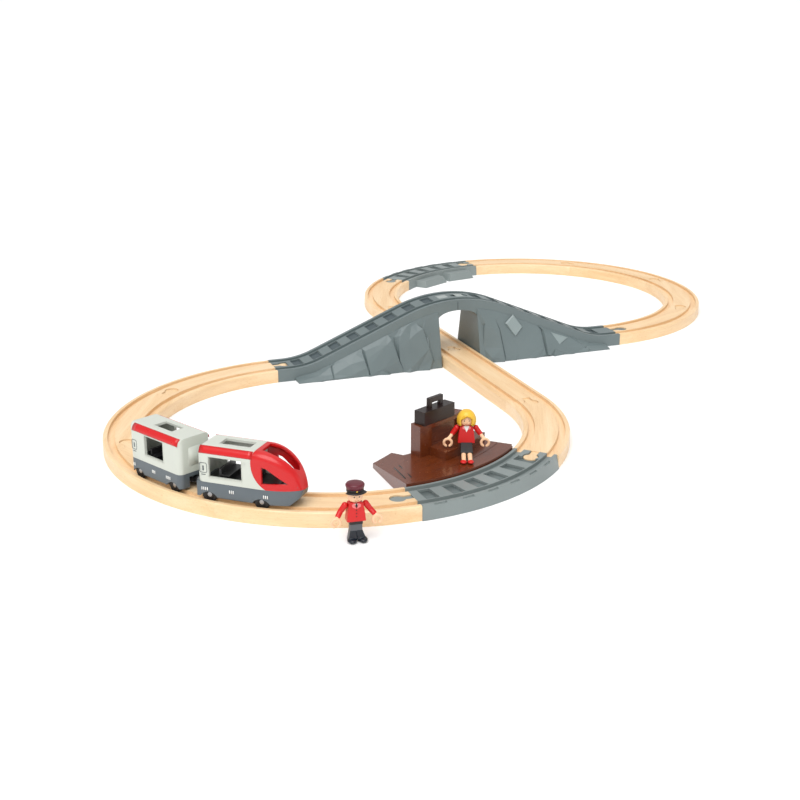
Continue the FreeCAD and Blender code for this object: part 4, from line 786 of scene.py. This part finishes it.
def arm(name, side, sleeve_end, material, place):
    """A sleeve, a bare forearm where the sleeve is short, and a ring-shaped hand."""
    label = "left" if side > 0 else "right"
    body = "%s_arm_%s" % (name, label)
    shoulder = Vector((7.6 * side, 0, 28.6))
    elbow = shoulder + Vector((3.3 * side, 0.4, -4.8))
    wrist = elbow + Vector((2.3 * side, -2.6, -2.6))
    palm = wrist + Vector((1.8 * side, -1.8, -4))
    knuckle = palm + Vector((0, 0, 3.1))
    cuff = wrist if sleeve_end == "wrist" else elbow + (wrist - elbow) * 0.12
    upper = joined(ball(shoulder, 2.35), rod([shoulder, elbow], [2.25, 2.1]), rod([elbow, cuff], [2.1, 2.0]))
    moulded(body + "_sleeve", upper, body, material, "red_plastic", place, 0.26, 5, [body])
    bare = rod([cuff + (elbow - cuff) * 0.2, wrist, knuckle], [1.45, 1.45, 1.2])
    sweep = [(palm.x + 3.1 * math.cos(math.radians(turn)), palm.y,
              palm.z + 3.1 * math.sin(math.radians(turn)))
             for turn in range(-60, 241, 12)]
    hand = rod(sweep, [1.12] * len(sweep), 12)
    moulded(body + "_hand", joined(bare, hand), body, "skin_plastic", "skin_plastic", place, 0.22, 3)


def torso(name, material, place):
    """The jacket: it narrows to the shoulders, with a hem that hangs over the hips."""
    hem = [(-6.9, 16.6), (6.9, 16.6), (6.6, 20.5), (5.3, 30.2), (3.4, 31.0), (-3.4, 31.0), (-5.3, 30.2),
           (-6.6, 20.5)]
    count = len(hem)
    points = [(x, across * (3.4 if z > 29 else 4.1), z) for across in (-1, 1) for x, z in hem]
    faces = [list(range(count)), list(range(count, 2 * count))[::-1]]
    faces += [[k, count + k, count + (k + 1) % count, (k + 1) % count] for k in range(count)]
    moulded(name + "_jacket", (points, faces), name + "_torso", material, "red_plastic", place, 0.3, 6,
            [name + "_torso"])


def chest_front(level):
    """How far forward the jacket is at a height, after smoothing."""
    return -4.14 + max(0.0, (level - 28.6) * 0.42)


def badge(name, outline, body, material, place, proud=0.16, slot="red_plastic"):
    """A printed patch on the chest: an outline of (x, z) laid on the jacket's front."""
    rows = [[(x, chest_front(z) - out, z) for x, z in outline] for out in (-0.5, proud)]
    points, faces = grid(rows, closed=True)
    count = len(outline)
    faces += [list(range(count))[::-1], [count + k for k in range(count)]]
    piece(name, points, faces, body, material, slot, place, flat=True)


def conductor():
    place = figure_frame("conductor")
    body = "conductor_torso"
    head("conductor", place)
    face("conductor", place, "print_brown")
    torso("conductor", "jacket_plastic", place)
    badge("conductor_shirt", [(-1.5, 30.9), (0, 27.6), (1.5, 30.9)], body, "white_plastic", place)
    badge("conductor_tie", [(-0.5, 30.7), (-0.62, 28.6), (0, 27.5), (0.62, 28.6), (0.5, 30.7)], body,
          "print_black", place, 0.3)
    for side, label in ((-1, "right"), (1, "left")):
        lapel = [(side * x, z) for x, z in ((1.5, 30.9), (3.3, 29.6), (3.1, 28.2), (0.2, 26.6))]
        badge("conductor_lapel_" + label, lapel, body, "pink_plastic", place, 0.24)
        collar = rod([(side * 0.6, -3.6, 30.6), (side * 2.6, -2.6, 31.0), (side * 3.3, 0, 31.2)], 0.42)
        moulded("conductor_collar_" + label, collar, body, "jacket_plastic", "red_plastic", place, 0.2, 2)
    for count in range(3):
        level = 25.4 - 2.4 * count
        button = ball((0.0, chest_front(level), level), 0.42, (1, 0.5, 1))
        piece("conductor_button_%d" % count, *button, body, "print_black", "red_plastic", place)
    legs = leg_frame("conductor", 0)
    trousers = joined(tapered((4.5, 2.8), (4.4, 3.0), 8.6, 17), rod([(-1.3, 0, 16.5), (1.3, 0, 16.5)], 3.3))
    moulded("conductor_trousers", trousers, "conductor_legs", "trouser_plastic", "grey_plastic", legs, 0.3, 4,
            ["conductor_legs"])
    loop = ((-1, -0.82), (-0.9, -1), (0.9, -1), (1, -0.82), (1, 0.82), (0.9, 1), (-0.9, 1), (-1, 0.82))
    belt = [[(4.62 * x, 3.06 * y, level) for x, y in loop] for level in (14.3, 17.2)]
    sheet_piece("conductor_belt", grid(belt, closed=True), 0.3, "conductor_legs", "print_black",
                "grey_plastic", legs,
                flat=True)
    for side, label in ((-1, "right"), (1, "left")):
        shaft = tapered((3.3, 2.9), (2.3, 2.9), 1.2, 9.6)
        shaft = ([(x + side * (2.2 if z > 5 else 3.5) + (0 if z > 5 else 0.8), y, z) for x, y, z in shaft[0]],
                 shaft[1])
        sole = ball((side * 4.0 + 0.9, -1.9, 1.85), 3.7, (0.94, 1.36, 0.5))
        boot = moulded("conductor_boot_" + label, joined(shaft, sole), "conductor_legs", "navy_plastic",
                       "grey_plastic", legs,
                       0.28, 5)
        lowest = min(vertex.co.z for vertex in boot.data.vertices)
        boot.data.transform(Matrix.Translation((0, 0, max(0.0, 0.00002 - lowest))))
    crown = [(0, 40.9), (6.15, 40.9), (6.4, 41.5), (6.85, 43.0), (6.85, 44.0), (6.3, 44.8), (5.3, 45.25),
             (2.5, 45.45), (0, 45.45)]
    band = [(0, 38.75), (6.1, 38.75), (6.25, 39.0), (6.25, 40.8), (6.1, 41.0), (0, 41.0)]
    cap_parts = (("crown", "maroon_plastic", crown), ("band", "print_black", band))
    for label, material, profile in cap_parts:
        item = piece("conductor_cap_" + label, *lathe(profile, 56), "conductor_head", material,
                     "maroon_plastic", place)
        if label == "crown":
            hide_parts("conductor_cap")
    peak_rows = []
    for row in range(5):
        reach = 6.0 + 2.5 * row / 4
        peak_rows.append([(reach * math.sin(math.radians(turn)) * 0.98,
                           -reach * math.cos(math.radians(turn) * 0.96),
                           39.5 - 0.95 * (row / 4) ** 1.5) for turn in range(-66, 67, 6)])
    sheet_piece("conductor_cap_peak", grid(peak_rows), 0.5, "conductor_head", "print_black", "maroon_plastic",
                place)
    piece("conductor_cap_badge", *ball((0, -6.35, 40.2), 0.6, (1, 0.4, 1)), "conductor_head",
          "yellow_plastic",
          "maroon_plastic", place)
    for side in (1, -1):
        arm("conductor", side, "wrist", "jacket_plastic", place)


def hair():
    """A bob in thick strands, parted over the face and flared at the collar."""
    rows = []
    for row in range(15):
        share = row / 14
        level = 43.4 - 11.6 * share ** 1.05
        swell = 7.75 * math.sin(min(1.0, 0.16 + share * 1.25) * math.pi / 2) ** 0.62
        swell += 0.35 * max(0, share - 0.75)
        line = []
        opening = 0 if share < 0.32 else 40 * min(1, (share - 0.32) / 0.2)
        for count in range(61):
            turn = opening + (360 - 2 * opening) * count / 60
            strand = 0.16 * math.sin(math.radians(turn * 13)) * share
            strand += 0.1 * math.sin(math.radians(turn * 29 + 40 * share))
            radius = swell + strand - (0.5 if share > 0.9 else 0)
            angle = math.radians(turn)
            line.append((radius * math.sin(angle), -radius * math.cos(angle), level))
        rows.append(line)
    return grid(rows)


def passenger():
    place = figure_frame("passenger")
    body = "passenger_torso"
    head("passenger", place)
    face("passenger", place, "print_brown")
    bob = sheet_piece("passenger_bob", hair(), 1.5, "passenger_head", "yellow_plastic", "yellow_plastic",
                      place,
                      offset=-1.0)
    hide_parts("passenger_hair")
    crown = ball((0, 0, 41.2), 5.2, (1, 1, 0.46))
    piece("passenger_crown", *crown, "passenger_head", "yellow_plastic", "yellow_plastic", place)
    for side, turns in ((1, (4, 16, 28, 38)), (-1, (-2, -14, -26, -37))):
        sweep = [on_head(turn, 40.6 - 0.33 * k * k, 0.75 - 0.05 * k) for k, turn in enumerate(turns)]
        lock = rod(sweep, [0.9, 1.1, 1.05, 0.8], 10)
        moulded("passenger_fringe_" + ("left" if side > 0 else "right"), lock, "passenger_head",
                "yellow_plastic",
                "yellow_plastic", place, 0.22, 3)
    torso("passenger", "jacket_plastic", place)
    badge("passenger_shirt", [(-2.3, 30.9), (0, 26.0), (2.3, 30.9)], body, "white_plastic", place)
    for side, label in ((-1, "right"), (1, "left")):
        lapel = [(side * x, z) for x, z in ((2.2, 30.9), (3.4, 29.9), (3.2, 28.9), (1.4, 28.2))]
        badge("passenger_lapel_" + label, lapel, body, "pink_plastic", place, 0.3)
        arm("passenger", side, "elbow", "jacket_plastic", place)
    legs = leg_frame("passenger", 58)
    trousers = joined(tapered((5.0, 2.5), (4.5, 2.9), 3.4, 16.5), rod([(-1.3, 0, 16.5), (1.3, 0, 16.5)], 3.3))
    moulded("passenger_trousers", trousers, "passenger_legs", "black_plastic", "black_plastic", legs, 0.3, 4,
            ["passenger_legs"])
    for side, label in ((-1, "right"), (1, "left")):
        shin = rod([(side * 2.45, -10.8, 9.9), (side * 2.6, -18.4, 7.4)], [2.0, 1.8])
        moulded("passenger_shin_" + label, shin, "passenger_legs", "skin_plastic", "skin_plastic", place,
                0.26, 3)
        shoe = joined(ball((side * 2.9, -20.0, 6.7), 2.5, (1.05, 1.3, 0.52)),
                      rod([(side * 2.6, -18.4, 7.3), (side * 2.8, -19, 6.9)], 1.7))
        moulded("passenger_shoe_" + label, shoe, "passenger_legs", "jacket_plastic", "red_plastic", place,
                0.26, 4)


# ---------------------------------------------------------------- camera, light and floor

def build_stage():
    azimuth, elevation = math.radians(20.53), math.radians(18.5)
    target, distance, lens = Vector((-98.43, -113.68, 0)) * MM, 1.2199, 57.81
    ahead = Vector((math.sin(azimuth) * math.cos(elevation), math.cos(azimuth) * math.cos(elevation),
                    -math.sin(elevation)))
    camera = bpy.data.objects.new("camera", bpy.data.cameras.new("camera"))
    camera.data.lens = lens
    camera.data.sensor_width = 36
    camera.data.clip_start = 0.01
    camera.location = target - ahead * distance
    camera.rotation_euler = ahead.to_track_quat("-Z", "Y").to_euler()
    bpy.context.scene.collection.objects.link(camera)
    bpy.context.scene.camera = camera

    reach = 60.0
    mesh = bpy.data.meshes.new("floor")
    mesh.from_pydata([(-reach, -reach, 0), (reach, -reach, 0), (reach, reach, 0), (-reach, reach, 0)], [],
                     [[0, 1, 2, 3]])
    floor = bpy.data.objects.new("floor", mesh)
    floor.location.z = -0.00005
    bpy.context.scene.collection.objects.link(floor)
    shader = Shader("pale_floor")
    cloud = shader.noise(shader.place(), 3.0, 2.0)
    shader.link(shader.ramp(cloud, [(0.3, (0.955, 0.955, 0.955, 1)), (0.7, (0.965, 0.965, 0.965, 1))]),
                "Base Color")
    shader.surface.inputs["Roughness"].default_value = 0.9
    shader.surface.inputs["Specular IOR Level"].default_value = 0.1
    mesh.materials.append(shader.material)

    world = bpy.data.worlds.new("studio")
    bpy.context.scene.world = world
    world.use_nodes = True
    tree = world.node_tree
    rise = tree.nodes.new("ShaderNodeSeparateXYZ")
    tree.links.new(tree.nodes.new("ShaderNodeTexCoord").outputs["Generated"], rise.inputs["Vector"])
    sky = tree.nodes.new("ShaderNodeValToRGB")
    for element, (height, glow) in zip(sky.color_ramp.elements, ((0.14, 1.0), (0.24, 0.53))):
        element.position = height
        element.color = (glow, glow, glow, 1)
    tree.links.new(rise.outputs["Z"], sky.inputs["Fac"])
    tree.links.new(sky.outputs["Color"], tree.nodes["Background"].inputs["Color"])
    sun = bpy.data.objects.new("sun", bpy.data.lights.new("sun", "SUN"))
    sun.data.energy = 1.95
    sun.data.angle = math.radians(55)
    sun.rotation_euler = Vector((0.35, 0.5, -1.0)).to_track_quat("-Z", "Y").to_euler()
    bpy.context.scene.collection.objects.link(sun)
    for name, spot, size, power in (("key", (-0.9, -1.3, 1.9), 1.6, 9), ("top", (0.5, 0.6, 2.3), 2.2, 8)):
        light = bpy.data.objects.new(name, bpy.data.lights.new(name, "AREA"))
        light.data.size = size
        light.data.energy = power
        light.location = spot
        light.rotation_euler = (Vector((-0.05, -0.05, 0)) - Vector(spot)).to_track_quat("-Z", "Y").to_euler()
        bpy.context.scene.collection.objects.link(light)
    bpy.context.scene.view_settings.view_transform = "Standard"


build_bridge()
build_hollows()
build_ramp_slots()
build_train()
conductor()
passenger()
build_stage()
